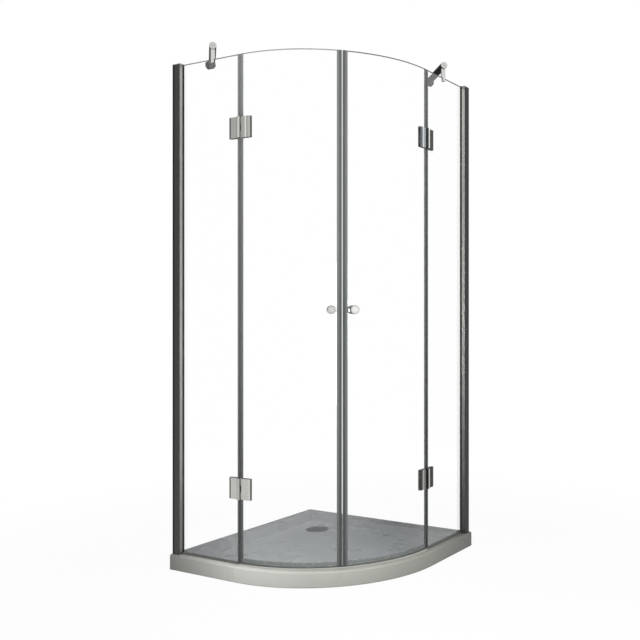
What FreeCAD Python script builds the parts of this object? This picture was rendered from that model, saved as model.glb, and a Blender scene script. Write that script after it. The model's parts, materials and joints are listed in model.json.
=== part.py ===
"""Quadrant shower enclosure: curved corner tray, two fixed panes, two hinged curved doors.

Millimetres, +Z up. The origin is the middle of the tray's square plan, on the floor.
The walls stand at X = -tray_side / 2 (left) and Y = +tray_side / 2 (back). The left half
is drawn piece by piece, and the right half is its mirror image in the plane through the
back corner and the meeting line of the doors.
"""
import FreeCAD, Part
import math
import os
from types import SimpleNamespace

import Sketcher

SHEET = "Sizes"

# Driving dimensions, in millimetres and degrees.
DIMENSIONS = {
    # Tray
    "tray_side": 900,
    "corner_radius": 550,
    "tray_height": 60,
    "rim_width": 55,
    "rim_rounding": 8,
    "rim_inner_rounding": 4,
    "basin_wall_run": 24,
    "floor_at_drain": 28,
    "floor_rise": 6,
    "floor_run": 740,
    "tray_shell": 14,
    "underside_wall": 45,
    "rib_width": 12,
    "rib_count": 3,
    # Waste
    "drain_from_walls": 193,
    "waste_recess_radius": 56,
    "waste_recess_floor": 22,
    "waste_flange_radius": 54,
    "waste_flange_thickness": 2.5,
    "waste_cup_radius": 45,
    "waste_cup_wall": 3,
    "waste_cup_clearance": 1,
    "waste_outlet_lift": 1,
    "waste_floor_thickness": 6,
    "waste_outlet_radius": 25,
    "waste_clear_radius": 62,
    "waste_seal_thickness": 2,
    "backnut_radius": 54,
    "backnut_height": 8,
    "drain_cover_radius": 50,
    "drain_cover_thickness": 3,
    "drain_cover_lift": 1.5,
    "drain_cover_edge": 1,
    "drain_cover_bevel": 2,
    "drain_cover_crown": 1,
    "cover_lug_radius": 3,
    "drain_skirt_radius": 40,
    "drain_skirt_wall": 2,
    "drain_skirt_depth": 9,
    # Glass
    "glass_inset": 33,
    "glass_thickness": 6,
    "screen_height": 1970,
    "hinge_flat": 5,
    "edge_gap": 4,
    "panel_glass_lift": 3,
    "door_glass_lift": 16,
    # Wall profiles
    "profile_width": 28,
    "profile_depth": 42,
    "profile_wall": 1.6,
    "profile_wall_gap": 2,
    "profile_web_place": 22,
    "profile_outer_gasket": 4,
    "profile_glass_face": 18,
    "profile_glass_start": 26,
    "channel_depth": 18,
    "channel_wall": 1.5,
    "channel_play": 0.4,
    "wall_hole_radius": 2.75,
    "wall_hole_end_margin": 85,
    "lock_screw_from_wall": 10,
    "lock_screw_radius": 1.9,
    "lock_screw_length": 6,
    "lock_head_radius": 3.5,
    "lock_head_height": 2,
    "lock_screw_end_margin": 95,
    "lock_hole_clearance": 0.2,
    "cap_thickness": 2.5,
    "cap_overhang": 0.4,
    "cap_wall_gap": 0.5,
    "cap_plug_gap": 0.2,
    "cap_plug_depth": 8,
    "gasket_proud": 1.2,
    # Seals
    "seal_wall": 1.2,
    "seal_leg": 7.5,
    "seal_base_width": 10,
    "seal_base_height": 9,
    "door_seal_height": 14,
    "door_seal_fin": 4.4,
    "door_seal_web": 4,
    "door_seal_lift": 2,
    "hinge_bulb_share": 0.9,
    "magnet_gap": 4.5,
    "magnet_nose_length": 9.4,
    "magnet_nose_width": 11,
    "magnet_length": 6.4,
    "magnet_setback": 1.2,
    "magnet_play": 0.1,
    "magnet_seal_leg": 8.5,
    # Threshold
    "threshold_width": 22,
    "threshold_height": 7,
    "threshold_bevel": 2,
    "threshold_corner": 8,
    # Hinges
    "hinge_height": 82,
    "upper_hinge_below_top": 284,
    "lower_hinge_above_rim": 293,
    "pivot_offset": 11,
    "barrel_radius": 7.5,
    "door_knuckle_height": 27,
    "pin_radius": 3,
    "pin_head_radius": 4.5,
    "pin_head_height": 2,
    "leaf_thickness": 5,
    "leaf_bevel_width": 9,
    "leaf_bevel_depth": 3,
    "clamp_bevel": 3,
    "leaf_near_edge": 9,
    "frame_leaf_width": 43,
    "door_leaf_width": 43,
    "hinge_gasket": 1,
    "hinge_screw_spacing": 44,
    "hinge_screw_radius": 2.4,
    "hinge_head_radius": 4.5,
    "hinge_head_height": 3,
    "hinge_head_inset": 0.3,
    "hinge_head_clearance": 0.5,
    "hinge_shank_clearance": 0.3,
    "hinge_screw_bite": 3,
    "hinge_tap_depth": 4,
    "gasket_hole_clearance": 0.6,
    "glass_hole_radius": 5,
    # Knobs
    "knob_below_middle": 2,
    "knob_from_meeting": 42,
    "knob_radius": 17,
    "knob_length": 30,
    "knob_neck_radius": 9,
    "knob_neck_length": 7,
    "knob_neck_foot": 1,
    "knob_flare": 2,
    "knob_back_edge": 1.5,
    "knob_face_edge": 2,
    "knob_ring_inset": 5,
    "knob_ring_width": 2,
    "knob_ring_slope": 0.5,
    "knob_ring_depth": 0.8,
    "knob_stud_radius": 3,
    "knob_stud_bite": 14,
    "knob_bore_spare": 2,
    "knob_hole_clearance": 3,
    # Support arms
    "arm_reach": 200,
    "arm_above_glass": 50,
    "bar_radius": 14,
    "bar_wall": 2,
    "bar_nose": 18,
    "bar_end_wall": 3,
    "bar_edge": 1,
    "bar_dimple_radius": 3.4,
    "bar_dimple_slope": 0.8,
    "stem_radius": 9.5,
    "stem_bite": 15,
    "stem_in_bar": 4,
    "stem_edge": 1,
    "ball_radius": 17,
    "ball_from_wall": 20,
    "flange_thickness": 6,
    "flange_edge": 1,
    "flange_neck_radius": 10,
    "spigot_length": 35,
    "wall_bolt_radius": 4,
    "wall_bolt_depth": 12,
    "grub_radius": 2.5,
    "grub_length": 5.4,
    "grub_below_top": 8,
    # Clearances
    "seat_gap": 0.05,
    "running_gap": 0.4,
    "pin_clearance": 0.05,
    "knob_seat": 0.3,
    "ball_gap": 0.2,
}

document = FreeCAD.newDocument("QuadrantShowerEnclosure")
sheet = document.addObject("Spreadsheet::Sheet", SHEET)
for row, (alias, number) in enumerate(DIMENSIONS.items(), start=1):
    sheet.set(f"A{row}", alias)
    sheet.set(f"B{row}", str(number))
    sheet.setAlias(f"B{row}", alias)
document.recompute()


# ---------------------------------------------------------------- sizes that follow the sheet


class Size:
    """A number together with the formula that works it out from the sheet."""

    def __init__(self, value, formula):
        self.value = value
        self.formula = formula

    def __add__(self, other):
        other = size(other)
        return Size(self.value + other.value, f"({self.formula} + {other.formula})")

    def __radd__(self, other):
        return size(other) + self

    def __sub__(self, other):
        other = size(other)
        return Size(self.value - other.value, f"({self.formula} - {other.formula})")

    def __rsub__(self, other):
        return size(other) - self

    def __mul__(self, other):
        other = size(other)
        return Size(self.value * other.value, f"({self.formula} * {other.formula})")

    def __rmul__(self, other):
        return size(other) * self

    def __truediv__(self, other):
        other = size(other)
        return Size(self.value / other.value, f"({self.formula} / {other.formula})")

    def __neg__(self):
        return Size(-self.value, f"(0 - {self.formula})")


def size(thing):
    """Turn a plain number into a Size, and leave a Size as it is."""
    if isinstance(thing, Size):
        return thing
    return Size(float(thing), f"({float(thing):.9f})")


def root(thing):
    return Size(math.sqrt(thing.value), f"sqrt({thing.formula})")


def sine(angle):
    return Size(math.sin(math.radians(angle.value)), f"sin({angle.formula})")


def cosine(angle):
    return Size(math.cos(math.radians(angle.value)), f"cos({angle.formula})")


def lean(run, rise):
    """Degrees from upright of a slope that goes out by run over a height of rise."""
    return Size(math.degrees(math.atan(run.value / rise.value)), f"atan({run.formula} / {rise.formula})")


def bind(target, path, amount):
    """Let one property of a document object follow the sheet."""
    target.setExpression(path, size(amount).formula)


d = SimpleNamespace(**{name: Size(float(number), f"{SHEET}.{name}") for name, number in DIMENSIONS.items()})

DEGREES = 180 / math.pi
HALF_TURN = 180
MEETING_ANGLE = 45
BRACE_TURN = 135
LUG_ANGLES = (45, 135, 225, 315)
WALL_HOLES = 4
LOCK_SCREWS = 3
FULL_TURN = 360
CUT_SPARE = 1  # how far a cutting tool runs on past the face that it leaves by
NEAR = 0.01  # how close two places are to count as one

# Places that several pieces share
half_side = d.tray_side / 2
centre_x = half_side - d.corner_radius
centre_y = d.corner_radius - half_side
glass_radius = d.corner_radius - d.glass_inset
half_glass = d.glass_thickness / 2
glass_line = d.glass_inset - half_side
glass_top = d.tray_height + d.screen_height
hinge_line = centre_x - d.hinge_flat
panel_edge = hinge_line - d.edge_gap
door_edge = hinge_line + d.edge_gap
pivot_y = glass_line - d.pivot_offset
panel_glass_bottom = d.tray_height + d.panel_glass_lift
door_glass_bottom = d.tray_height + d.door_glass_lift
seal_half = half_glass + d.seal_wall
slot_half = half_glass + d.seat_gap
door_seal_bottom = d.tray_height + d.threshold_height + d.door_seal_lift
drain_x = d.drain_from_walls - half_side
drain_y = half_side - d.drain_from_walls
screen_middle = d.tray_height + d.screen_height / 2
hinge_levels = {
    "upper": glass_top - d.upper_hinge_below_top,
    "lower": d.tray_height + d.lower_hinge_above_rim,
}
knob_level = screen_middle - d.knob_below_middle


def arc_angle(run):
    """Degrees that a run along the middle of the curved glass takes."""
    return run / glass_radius * DEGREES


magnet_face = arc_angle(d.magnet_gap / 2)
nose_back = arc_angle(d.magnet_gap / 2 + d.magnet_nose_length)
glass_end = arc_angle(d.magnet_gap / 2 + d.magnet_nose_length + d.running_gap + d.seat_gap)
slot_end = arc_angle(d.magnet_gap / 2 + d.magnet_nose_length + d.running_gap)
leg_end = arc_angle(d.magnet_gap / 2 + d.magnet_nose_length + d.magnet_seal_leg)


def on_curve(radius, angle):
    """A point about the doors' common centre, the angle counted from the left door's hinge side."""
    angle = size(angle)
    return centre_x + radius * sine(angle), centre_y - radius * cosine(angle)


# ---------------------------------------------------------------- drawing and feature helpers


def new_body(label):
    body = document.addObject("PartDesign::Body", label)
    body.Label = label
    return body


def new_sketch(body, height=0, role="XY_Plane"):
    """Open a sketch on one of the body's own origin planes, lifted along the plane's normal."""
    drawing = body.newObject("Sketcher::SketchObject", body.Name + "_sketch")
    plane = next(item for item in body.Origin.OriginFeatures if item.Role == role)
    drawing.AttachmentSupport = [(plane, "")]
    drawing.MapMode = "FlatFace"
    lift = size(height)
    drawing.AttachmentOffset = FreeCAD.Placement(FreeCAD.Vector(0, 0, lift.value), FreeCAD.Rotation())
    bind(drawing, "AttachmentOffset.Base.z", lift)
    return drawing


def dimension(drawing, kind, amount, *places):
    """Add one sketch dimension that follows the sheet."""
    amount = size(amount)
    index = drawing.addConstraint(Sketcher.Constraint(kind, *places, amount.value))
    bind(drawing, f"Constraints[{index}]", amount)


def draw_edge(drawing, start, corner):
    """Draw one edge to a corner, and return it with its first and last point numbers."""
    end = FreeCAD.Vector(size(corner[0]).value, size(corner[1]).value, 0)
    if len(corner) == 2:
        return drawing.addGeometry(Part.LineSegment(start, end)), 1, 2
    middle, turn = corner[2], corner[3]
    centre = FreeCAD.Vector(size(middle[0]).value, size(middle[1]).value, 0)
    from_point, to_point = (start, end) if turn > 0 else (end, start)
    first = math.atan2(from_point.y - centre.y, from_point.x - centre.x)
    last = math.atan2(to_point.y - centre.y, to_point.x - centre.x)
    if last <= first:
        last += 2 * math.pi
    circle = Part.Circle(centre, FreeCAD.Vector(0, 0, 1), (start - centre).Length)
    edge = drawing.addGeometry(Part.ArcOfCircle(circle, first, last))
    level = abs(end.x - start.x) > abs(end.y - start.y)
    if level:
        dimension(drawing, "DistanceY", middle[1], -1, 1, edge, 3)
    else:
        dimension(drawing, "DistanceX", middle[0], -1, 1, edge, 3)
    return (edge, 1, 2) if turn > 0 else (edge, 2, 1)


def draw_outline(drawing, corners):
    """Draw a closed outline. A corner is (x, y) after a straight edge, or
    (x, y, centre, turn) after an arc, with turn 1 counter-clockwise and -1 clockwise."""
    edges = []
    for index, corner in enumerate(corners):
        before = corners[index - 1]
        start = FreeCAD.Vector(size(before[0]).value, size(before[1]).value, 0)
        edges.append(draw_edge(drawing, start, corner))
    for index, (edge, first, last) in enumerate(edges):
        before, _, before_last = edges[index - 1]
        drawing.addConstraint(Sketcher.Constraint("Coincident", before, before_last, edge, first))
        dimension(drawing, "DistanceX", corners[index][0], -1, 1, edge, last)
        dimension(drawing, "DistanceY", corners[index][1], -1, 1, edge, last)


def draw_circle(drawing, x, y, radius):
    x, y, radius = size(x), size(y), size(radius)
    place = FreeCAD.Vector(x.value, y.value, 0)
    edge = drawing.addGeometry(Part.Circle(place, FreeCAD.Vector(0, 0, 1), radius.value))
    dimension(drawing, "DistanceX", x, -1, 1, edge, 3)
    dimension(drawing, "DistanceY", y, -1, 1, edge, 3)
    dimension(drawing, "Radius", radius, edge)


def extrude(body, drawing, length, kind="PartDesign::Pad"):
    """Pad a sketch upwards, or pocket it downwards, by a length that follows the sheet."""
    feature = body.newObject(kind, body.Name + "_" + kind.split("::")[1].lower())
    feature.Profile = drawing
    feature.Length = size(length).value
    bind(feature, "Length", length)
    return feature


def pad_outline(body, corners, bottom, top, holes=()):
    """Pad an outline, with any inner outlines, between two levels."""
    drawing = new_sketch(body, bottom)
    draw_outline(drawing, corners)
    for hole in holes:
        draw_outline(drawing, hole)
    return extrude(body, drawing, size(top) - bottom)


def prism(label, corners, bottom, top, holes=()):
    body = new_body(label)
    pad_outline(body, corners, bottom, top, holes)
    return body


def lathe(label, corners, axis="V_Axis", role="XY_Plane"):
    """Turn an outline a full turn about the sketch's vertical or horizontal axis."""
    body = new_body(label)
    drawing = new_sketch(body, role=role)
    draw_outline(drawing, corners)
    turned = body.newObject("PartDesign::Revolution", label + "_revolution")
    turned.Profile = drawing
    turned.ReferenceAxis = (drawing, [axis])
    turned.Angle = FULL_TURN
    return body


def upright_lathe(label, corners):
    """Turn a (radius, level) outline about the piece's own +Z."""
    return lathe(label, corners, role="XZ_Plane")


def box_outline(left, front, right, back):
    return [(left, front), (right, front), (right, back), (left, back)]


def put(thing, x=0, y=0, z=0, turn=None, rotation=None):
    """Place a piece; turn is an angle about +Z that follows the sheet."""
    place = FreeCAD.Vector(size(x).value, size(y).value, size(z).value)
    if turn is not None:
        rotation = FreeCAD.Rotation(FreeCAD.Vector(0, 0, 1), size(turn).value)
    thing.Placement = FreeCAD.Placement(place, rotation or FreeCAD.Rotation())
    for axis, amount in zip("xyz", (x, y, z)):
        bind(thing, f"Placement.Base.{axis}", amount)
    if turn is not None:
        bind(thing, "Placement.Rotation.Angle", turn)
    return thing


ALONG_X = FreeCAD.Rotation(FreeCAD.Vector(0, 1, 0), 90)
ALONG_Y = FreeCAD.Rotation(FreeCAD.Vector(1, 0, 0), -90)
ALONG_Z = FreeCAD.Rotation()


def rod(label, radius, length, x=0, y=0, z=0, direction=ALONG_Z):
    """A round rod that starts at a point and runs along an axis."""
    cylinder = document.addObject("Part::Cylinder", label)
    bind(cylinder, "Radius", radius)
    bind(cylinder, "Height", length)
    return put(cylinder, x, y, z, rotation=direction)


def group(label, pieces):
    together = document.addObject("Part::Compound", label)
    together.Label = label
    together.Links = pieces
    return together


def fuse(label, pieces):
    joined = document.addObject("Part::MultiFuse", label)
    joined.Label = label
    joined.Shapes = pieces
    return joined


def cut(label, base, tools):
    """Take a list of tools, which don't touch each other, away from a piece."""
    remainder = document.addObject("Part::Cut", label)
    remainder.Label = label
    remainder.Base = base
    remainder.Tool = group(label + "_tools", tools)
    return remainder


def mirror(label, source):
    """The right-hand piece: the left one reflected in the plane X + Y = 0."""
    reflected = document.addObject("Part::Mirroring", label)
    reflected.Label = label
    reflected.Source = source
    reflected.Base = FreeCAD.Vector(0, 0, 0)
    reflected.Normal = FreeCAD.Vector(1, 1, 0)
    return reflected


# ---------------------------------------------------------------- tray and waste


def quadrant(inset):
    """The tray's plan, drawn in by an inset."""
    near, far = inset - half_side, half_side - inset
    return [
        (near, far),
        (near, near),
        (centre_x, near),
        (far, centre_y, (centre_x, centre_y), 1),
        (far, far),
    ]


def edges_where(shape, test):
    """Names of the edges whose middle point passes a test."""
    names = []
    for index, edge in enumerate(shape.Edges, start=1):
        middle = edge.valueAt((edge.FirstParameter + edge.LastParameter) / 2)
        if test(edge, middle):
            names.append(f"Edge{index}")
    return names


def dress_edges(body, kind, path, amount, test):
    """Round or bevel the edges of a body's last feature that pass a test."""
    base = body.Tip
    feature = body.newObject(kind, body.Name + "_edges")
    feature.Base = (base, edges_where(base.Shape, test))
    bind(feature, path, amount)
    body.Tip = feature


def is_flat_at(edge, level):
    return all(abs(vertex.Point.z - level) < NEAR for vertex in edge.Vertexes)


def inset_of(point):
    """How far a point lies inside the tray's plan."""
    across, forward = point.x - centre_x.value, centre_y.value - point.y
    if across > 0 and forward > 0:
        return d.corner_radius.value - math.hypot(across, forward)
    half = half_side.value
    return min(half - abs(point.x), half - abs(point.y))


def make_tray():
    """A cast tray: rounded front rim, sloped basin that falls to the drain, ribbed underside."""
    blank = prism("tray_blank", quadrant(size(0)), 0, d.tray_height)
    document.recompute()
    front = -half_side.value + NEAR

    def is_front_rim(edge, middle):
        on_top = is_flat_at(edge, d.tray_height.value)
        against_wall = middle.x < front or middle.y > -front
        return on_top and not against_wall

    dress_edges(blank, "PartDesign::Fillet", "Radius", d.rim_rounding, is_front_rim)

    dished = document.addObject("Part::Cut", "dished_tray")
    dished.Base = blank
    dished.Tool = make_basin_tool()
    document.recompute()
    bowl = new_body("rounded_tray")
    bowl.BaseFeature = dished
    document.recompute()

    def is_basin_rim(edge, middle):
        return is_flat_at(edge, d.tray_height.value) and inset_of(middle) > d.rim_width.value - NEAR

    dress_edges(bowl, "PartDesign::Fillet", "Radius", d.rim_inner_rounding, is_basin_rim)

    opening_radius = d.waste_cup_radius + d.waste_cup_clearance
    seat = d.waste_recess_floor
    recess = rod("waste_recess", d.waste_recess_radius, d.tray_height, drain_x, drain_y, seat)
    opening = rod("waste_opening", opening_radius, d.tray_height, drain_x, drain_y, 0)
    clear = rod("waste_clear", d.waste_clear_radius, d.tray_shell, drain_x, drain_y, 0)
    core = prism("underside_space", quadrant(d.underside_wall), 0, d.tray_shell)
    cells = cut("underside_cells", core, make_rib_tools())
    return cut("shower_tray", bowl, [fuse("tray_spaces", [recess, opening, clear, cells])])


def make_basin_tool():
    """The basin's space: sloped sides, above a floor that falls to the drain."""
    basin = prism("basin_space", quadrant(d.rim_width), d.waste_recess_floor, d.tray_height)
    document.recompute()
    upright = basin.Tip
    sides, mouth = [], []
    for index, face in enumerate(upright.Shape.Faces, start=1):
        if face.BoundBox.ZLength > NEAR:
            sides.append(f"Face{index}")
        elif face.BoundBox.ZMin > d.waste_recess_floor.value + NEAR:
            mouth.append(f"Face{index}")
    slope = basin.newObject("PartDesign::Draft", "basin_slope")
    slope.Base = (upright, sides)
    slope.NeutralPlane = (upright, mouth)
    slope.Reversed = True
    bind(slope, "Angle", lean(d.basin_wall_run, d.tray_height - d.waste_recess_floor))
    basin.Tip = slope

    fall = document.addObject("Part::Cone", "floor_fall")
    deep = d.tray_height - d.floor_at_drain + CUT_SPARE
    bind(fall, "Radius1", d.waste_recess_radius)
    bind(fall, "Radius2", d.waste_recess_radius + deep * d.floor_run / d.floor_rise)
    bind(fall, "Height", deep)
    put(fall, drain_x, drain_y, d.floor_at_drain)
    basin_tool = document.addObject("Part::Common", "basin_tool")
    basin_tool.Base = basin
    basin_tool.Tool = fall
    return basin_tool


def make_rib_tools():
    """A crossed set of stiffening ribs under the tray's floor."""
    ribs = []
    count = int(d.rib_count.value)
    pitch = (d.tray_side - d.underside_wall * 2) / (d.rib_count + 1)
    for number in range(1, count + 1):
        start = d.underside_wall - half_side + pitch * number - d.rib_width / 2
        for name, sides, place in (
            ("rib_across", (d.tray_side, d.rib_width), (-half_side, start)),
            ("rib_along", (d.rib_width, d.tray_side), (start, -half_side)),
        ):
            rib = document.addObject("Part::Box", f"{name}_{number}")
            bind(rib, "Length", sides[0])
            bind(rib, "Width", sides[1])
            bind(rib, "Height", d.tray_shell)
            ribs.append(put(rib, place[0], place[1], 0))
    return [fuse("ribs", ribs)]


def make_waste():
    """Waste cup with its flange, sealing ring and backnut, and the lift-off cover."""
    cup = d.waste_cup_radius
    inner = cup - d.waste_cup_wall
    seat = d.waste_recess_floor
    flange_top = seat + d.waste_flange_thickness
    cup_bottom = d.waste_outlet_lift
    cup_floor = cup_bottom + d.waste_floor_thickness
    body = upright_lathe("waste_body", [
        (d.waste_outlet_radius, cup_bottom),
        (cup, cup_bottom),
        (cup, seat),
        (d.waste_flange_radius, seat),
        (d.waste_flange_radius, flange_top),
        (inner, flange_top),
        (inner, cup_floor),
        (d.waste_outlet_radius, cup_floor),
    ])
    seal_bottom = d.tray_shell - d.waste_seal_thickness
    ring_inner = cup + d.seat_gap
    seal = upright_lathe("waste_seal", box_outline(ring_inner, seal_bottom, d.backnut_radius, d.tray_shell))
    nut_bottom = seal_bottom - d.backnut_height
    nut = upright_lathe("waste_backnut", box_outline(ring_inner, nut_bottom, d.backnut_radius, seal_bottom))
    cover_bottom = flange_top + d.drain_cover_lift
    cover_top = cover_bottom + d.drain_cover_thickness
    skirt_inner = d.drain_skirt_radius - d.drain_skirt_wall
    skirt_bottom = cover_bottom - d.drain_skirt_depth
    cover = upright_lathe("drain_cover_turned", [
        (0, cover_bottom),
        (skirt_inner, cover_bottom),
        (skirt_inner, skirt_bottom),
        (d.drain_skirt_radius, skirt_bottom),
        (d.drain_skirt_radius, cover_bottom),
        (d.drain_cover_radius, cover_bottom),
        (d.drain_cover_radius, cover_top - d.drain_cover_edge),
        (d.drain_cover_radius - d.drain_cover_bevel, cover_top),
        (0, cover_top + d.drain_cover_crown),
    ])
    lugs = []
    out = d.drain_cover_radius - d.cover_lug_radius
    lug_height = (cover_bottom + cover_top) / 2 - flange_top
    for number, angle in enumerate(LUG_ANGLES):
        x, y = out * math.cos(math.radians(angle)), out * math.sin(math.radians(angle))
        lugs.append(rod(f"cover_lug_{number}", d.cover_lug_radius, lug_height, x, y, flange_top))
    lifted = fuse("drain_cover", [cover] + lugs)
    for piece in (body, seal, nut, lifted):
        put(piece, drain_x, drain_y, 0)
    return {"waste_body": body, "waste_seal": seal, "waste_backnut": nut, "drain_cover": lifted}


def make_threshold():
    """The low strip on the rim that the doors' bottom seals close against."""
    half = d.threshold_width / 2
    outer, inner = glass_radius + half, glass_radius - half
    centre = (centre_x, centre_y)
    end = panel_edge + d.running_gap
    corner = d.threshold_corner
    front = glass_line - half
    back = glass_line + half
    strip = prism("threshold_strip", [
        (end, front + corner),
        (end + corner, front, (end + corner, front + corner), 1),
        (centre_x, front),
        (centre_x + outer, centre_y, centre, 1),
        (centre_x + outer, -end - corner),
        (centre_x + outer - corner, -end, (centre_x + outer - corner, -end - corner), 1),
        (centre_x + inner, -end),
        (centre_x + inner, centre_y),
        (centre_x, back, centre, -1),
        (end, back),
    ], d.tray_height, d.tray_height + d.threshold_height)
    document.recompute()
    level = (d.tray_height + d.threshold_height).value

    def is_top(edge, middle):
        return is_flat_at(edge, level)

    dress_edges(strip, "PartDesign::Chamfer", "Size", d.threshold_bevel, is_top)
    return strip


# ---------------------------------------------------------------- wall profiles and fixed pane

profile_outer = glass_line - d.profile_glass_face - half_glass
profile_inner = profile_outer + d.profile_width
wall_face = -half_side
slot_outer = glass_line - half_glass - d.profile_outer_gasket
slot_inner = profile_inner - d.profile_wall


def make_wall_channel():
    """U channel that is screwed to the wall through four holes in its back."""
    gap = d.profile_wall + d.channel_play
    front, back = profile_outer + gap, profile_inner - gap
    depth = wall_face + d.channel_depth
    inner = wall_face + d.channel_wall
    channel = prism("wall_channel_bar", [
        (wall_face, front),
        (depth, front),
        (depth, front + d.channel_wall),
        (inner, front + d.channel_wall),
        (inner, back - d.channel_wall),
        (depth, back - d.channel_wall),
        (depth, back),
        (wall_face, back),
    ], d.tray_height, glass_top - d.cap_plug_depth)
    line = (front + back) / 2
    holes = []
    for level in levels_between(d.wall_hole_end_margin, WALL_HOLES):
        name = f"wall_hole_{len(holes)}"
        reach = d.channel_wall + CUT_SPARE * 2
        holes.append(rod(name, d.wall_hole_radius, reach, wall_face - CUT_SPARE, line, level, ALONG_X))
    for number, level in enumerate(lock_screw_levels()):
        x = wall_face + d.lock_screw_from_wall
        radius = d.lock_screw_radius + d.seat_gap
        start = back - d.channel_wall - CUT_SPARE
        length = d.channel_wall + CUT_SPARE * 2
        holes.append(rod(f"lock_tap_{number}", radius, length, x, start, level, ALONG_Y))
    return cut("wall_channel_left", channel, holes)


def levels_between(margin, count):
    """Evenly spaced levels on the profile, the outer two a margin from its ends."""
    step = (d.screen_height - margin * 2) / (count - 1)
    return [d.tray_height + margin + step * number for number in range(count)]


def lock_screw_levels():
    return levels_between(d.lock_screw_end_margin, LOCK_SCREWS)


def make_glazing_profile():
    """Outer profile that slides over the wall channel and holds the pane's edge."""
    wall = d.profile_wall
    start = wall_face + d.profile_wall_gap
    front = wall_face + d.profile_depth
    web = wall_face + d.profile_web_place
    slot = web + wall
    profile = prism("glazing_bar", [
        (start, profile_outer),
        (front, profile_outer),
        (front, slot_outer),
        (slot, slot_outer),
        (slot, slot_inner),
        (front, slot_inner),
        (front, profile_inner),
        (start, profile_inner),
        (start, profile_inner - wall),
        (web, profile_inner - wall),
        (web, profile_outer + wall),
        (start, profile_outer + wall),
    ], d.tray_height, glass_top, [
        box_outline(slot, profile_outer + wall, front - wall, slot_outer - wall),
    ])
    holes = []
    for number, level in enumerate(lock_screw_levels()):
        x = wall_face + d.lock_screw_from_wall
        radius = d.lock_screw_radius + d.lock_hole_clearance
        start = profile_inner - wall - CUT_SPARE
        holes.append(rod(f"lock_hole_{number}", radius, wall + CUT_SPARE * 2, x, start, level, ALONG_Y))
    return cut("glazing_profile_left", profile, holes)


def make_profile_cap():
    """Top cap with a plug in the profile's closed chamber."""
    over = d.cap_overhang
    wall = d.profile_wall + d.cap_plug_gap
    slot = wall_face + d.profile_web_place + wall
    front = wall_face + d.profile_depth
    cap = new_body("profile_cap_left")
    start = wall_face + d.cap_wall_gap
    plate = box_outline(start, profile_outer - over, front + over, profile_inner + over)
    pad_outline(cap, plate, glass_top, glass_top + d.cap_thickness)
    plug = box_outline(slot, profile_outer + wall, front - wall, slot_outer - wall)
    pad_outline(cap, plug, glass_top - d.cap_plug_depth, glass_top)
    return cap


def make_panel_gaskets():
    """The two glazing strips that hold the pane in its profile, each with a rounded lip."""
    back = wall_face + d.profile_glass_start
    front = wall_face + d.profile_depth + d.gasket_proud
    strips = []
    for name, near, far in (
        ("outer_strip", slot_outer + d.seat_gap, glass_line - half_glass - d.seat_gap),
        ("inner_strip", glass_line + half_glass + d.seat_gap, slot_inner - d.seat_gap),
    ):
        lip = (far - near) / 2
        middle = (front - lip, (near + far) / 2)
        strips.append(prism(name, [
            (back, near),
            (front - lip, near),
            (front - lip, far, middle, 1),
            (back, far),
        ], panel_glass_bottom, glass_top))
    return group("panel_gasket_left", strips)


def make_lock_screws():
    screws = []
    x, seat, length = wall_face + d.lock_screw_from_wall, profile_inner, d.lock_screw_length
    for number, level in enumerate(lock_screw_levels()):
        shank = rod(f"lock_shank_{number}", d.lock_screw_radius, length, x, seat - length, level, ALONG_Y)
        head = rod(f"lock_head_{number}", d.lock_head_radius, d.lock_head_height, x, seat, level, ALONG_Y)
        screws.append(fuse(f"lock_screw_{number}", [shank, head]))
    return group("lock_screws", screws)


def make_fixed_glass():
    """Flat fixed pane, drilled for its half of the two hinges."""
    pane = prism("fixed_pane", box_outline(
        wall_face + d.profile_glass_start, glass_line - half_glass, panel_edge, glass_line + half_glass
    ), panel_glass_bottom, glass_top)
    x = hinge_line - d.leaf_near_edge - d.frame_leaf_width / 2
    holes = []
    for level in hinge_screw_levels():
        name = f"pane_hole_{len(holes)}"
        start = glass_line - half_glass - CUT_SPARE
        reach = d.glass_thickness + CUT_SPARE * 2
        holes.append(rod(name, d.glass_hole_radius, reach, x, start, level, ALONG_Y))
    return cut("fixed_glass_left", pane, holes)


def hinge_screw_levels():
    return [level + d.hinge_screw_spacing * sign / 2 for level in hinge_levels.values() for sign in (-1, 1)]


def make_panel_bottom_seal():
    """Channel-shaped seal between the tray's rim and the fixed pane."""
    left = wall_face + d.profile_depth + d.gasket_proud + d.running_gap
    half = d.seal_base_width / 2
    top = d.tray_height + d.seal_base_height
    seal = new_body("panel_bottom_seal_left")
    base = box_outline(left, glass_line - half, panel_edge, glass_line + half)
    pad_outline(seal, base, d.tray_height, top)
    groove = new_sketch(seal, top)
    start, end = left - CUT_SPARE, panel_edge + CUT_SPARE
    draw_outline(groove, box_outline(start, glass_line - slot_half, end, glass_line + slot_half))
    extrude(seal, groove, d.seal_base_height - d.panel_glass_lift, "PartDesign::Pocket")
    return seal


def seal_lengths(bottom):
    """Bottom and top of each length of edge seal, which is cut out at the hinges."""
    clear = d.hinge_height / 2 + d.running_gap
    levels = [bottom]
    for level in (hinge_levels["lower"], hinge_levels["upper"]):
        levels += [level - clear, level + clear]
    levels.append(glass_top)
    return list(zip(levels[::2], levels[1::2]))


def make_panel_edge_seal():
    """Clip-on seal on the fixed pane's free edge, in three lengths."""
    near, far = panel_edge - d.seal_leg, panel_edge + d.seal_wall
    outline = [
        (near, glass_line - seal_half),
        (far, glass_line - seal_half),
        (far, glass_line + seal_half),
        (near, glass_line + seal_half),
        (near, glass_line + slot_half),
        (panel_edge + d.seat_gap, glass_line + slot_half),
        (panel_edge + d.seat_gap, glass_line - slot_half),
        (near, glass_line - slot_half),
    ]
    bottom = d.tray_height + d.seal_base_height + d.running_gap
    lengths = [prism("panel_seal_length", outline, low, high) for low, high in seal_lengths(bottom)]
    return group("panel_edge_seal_left", lengths)


# ---------------------------------------------------------------- doors


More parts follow.
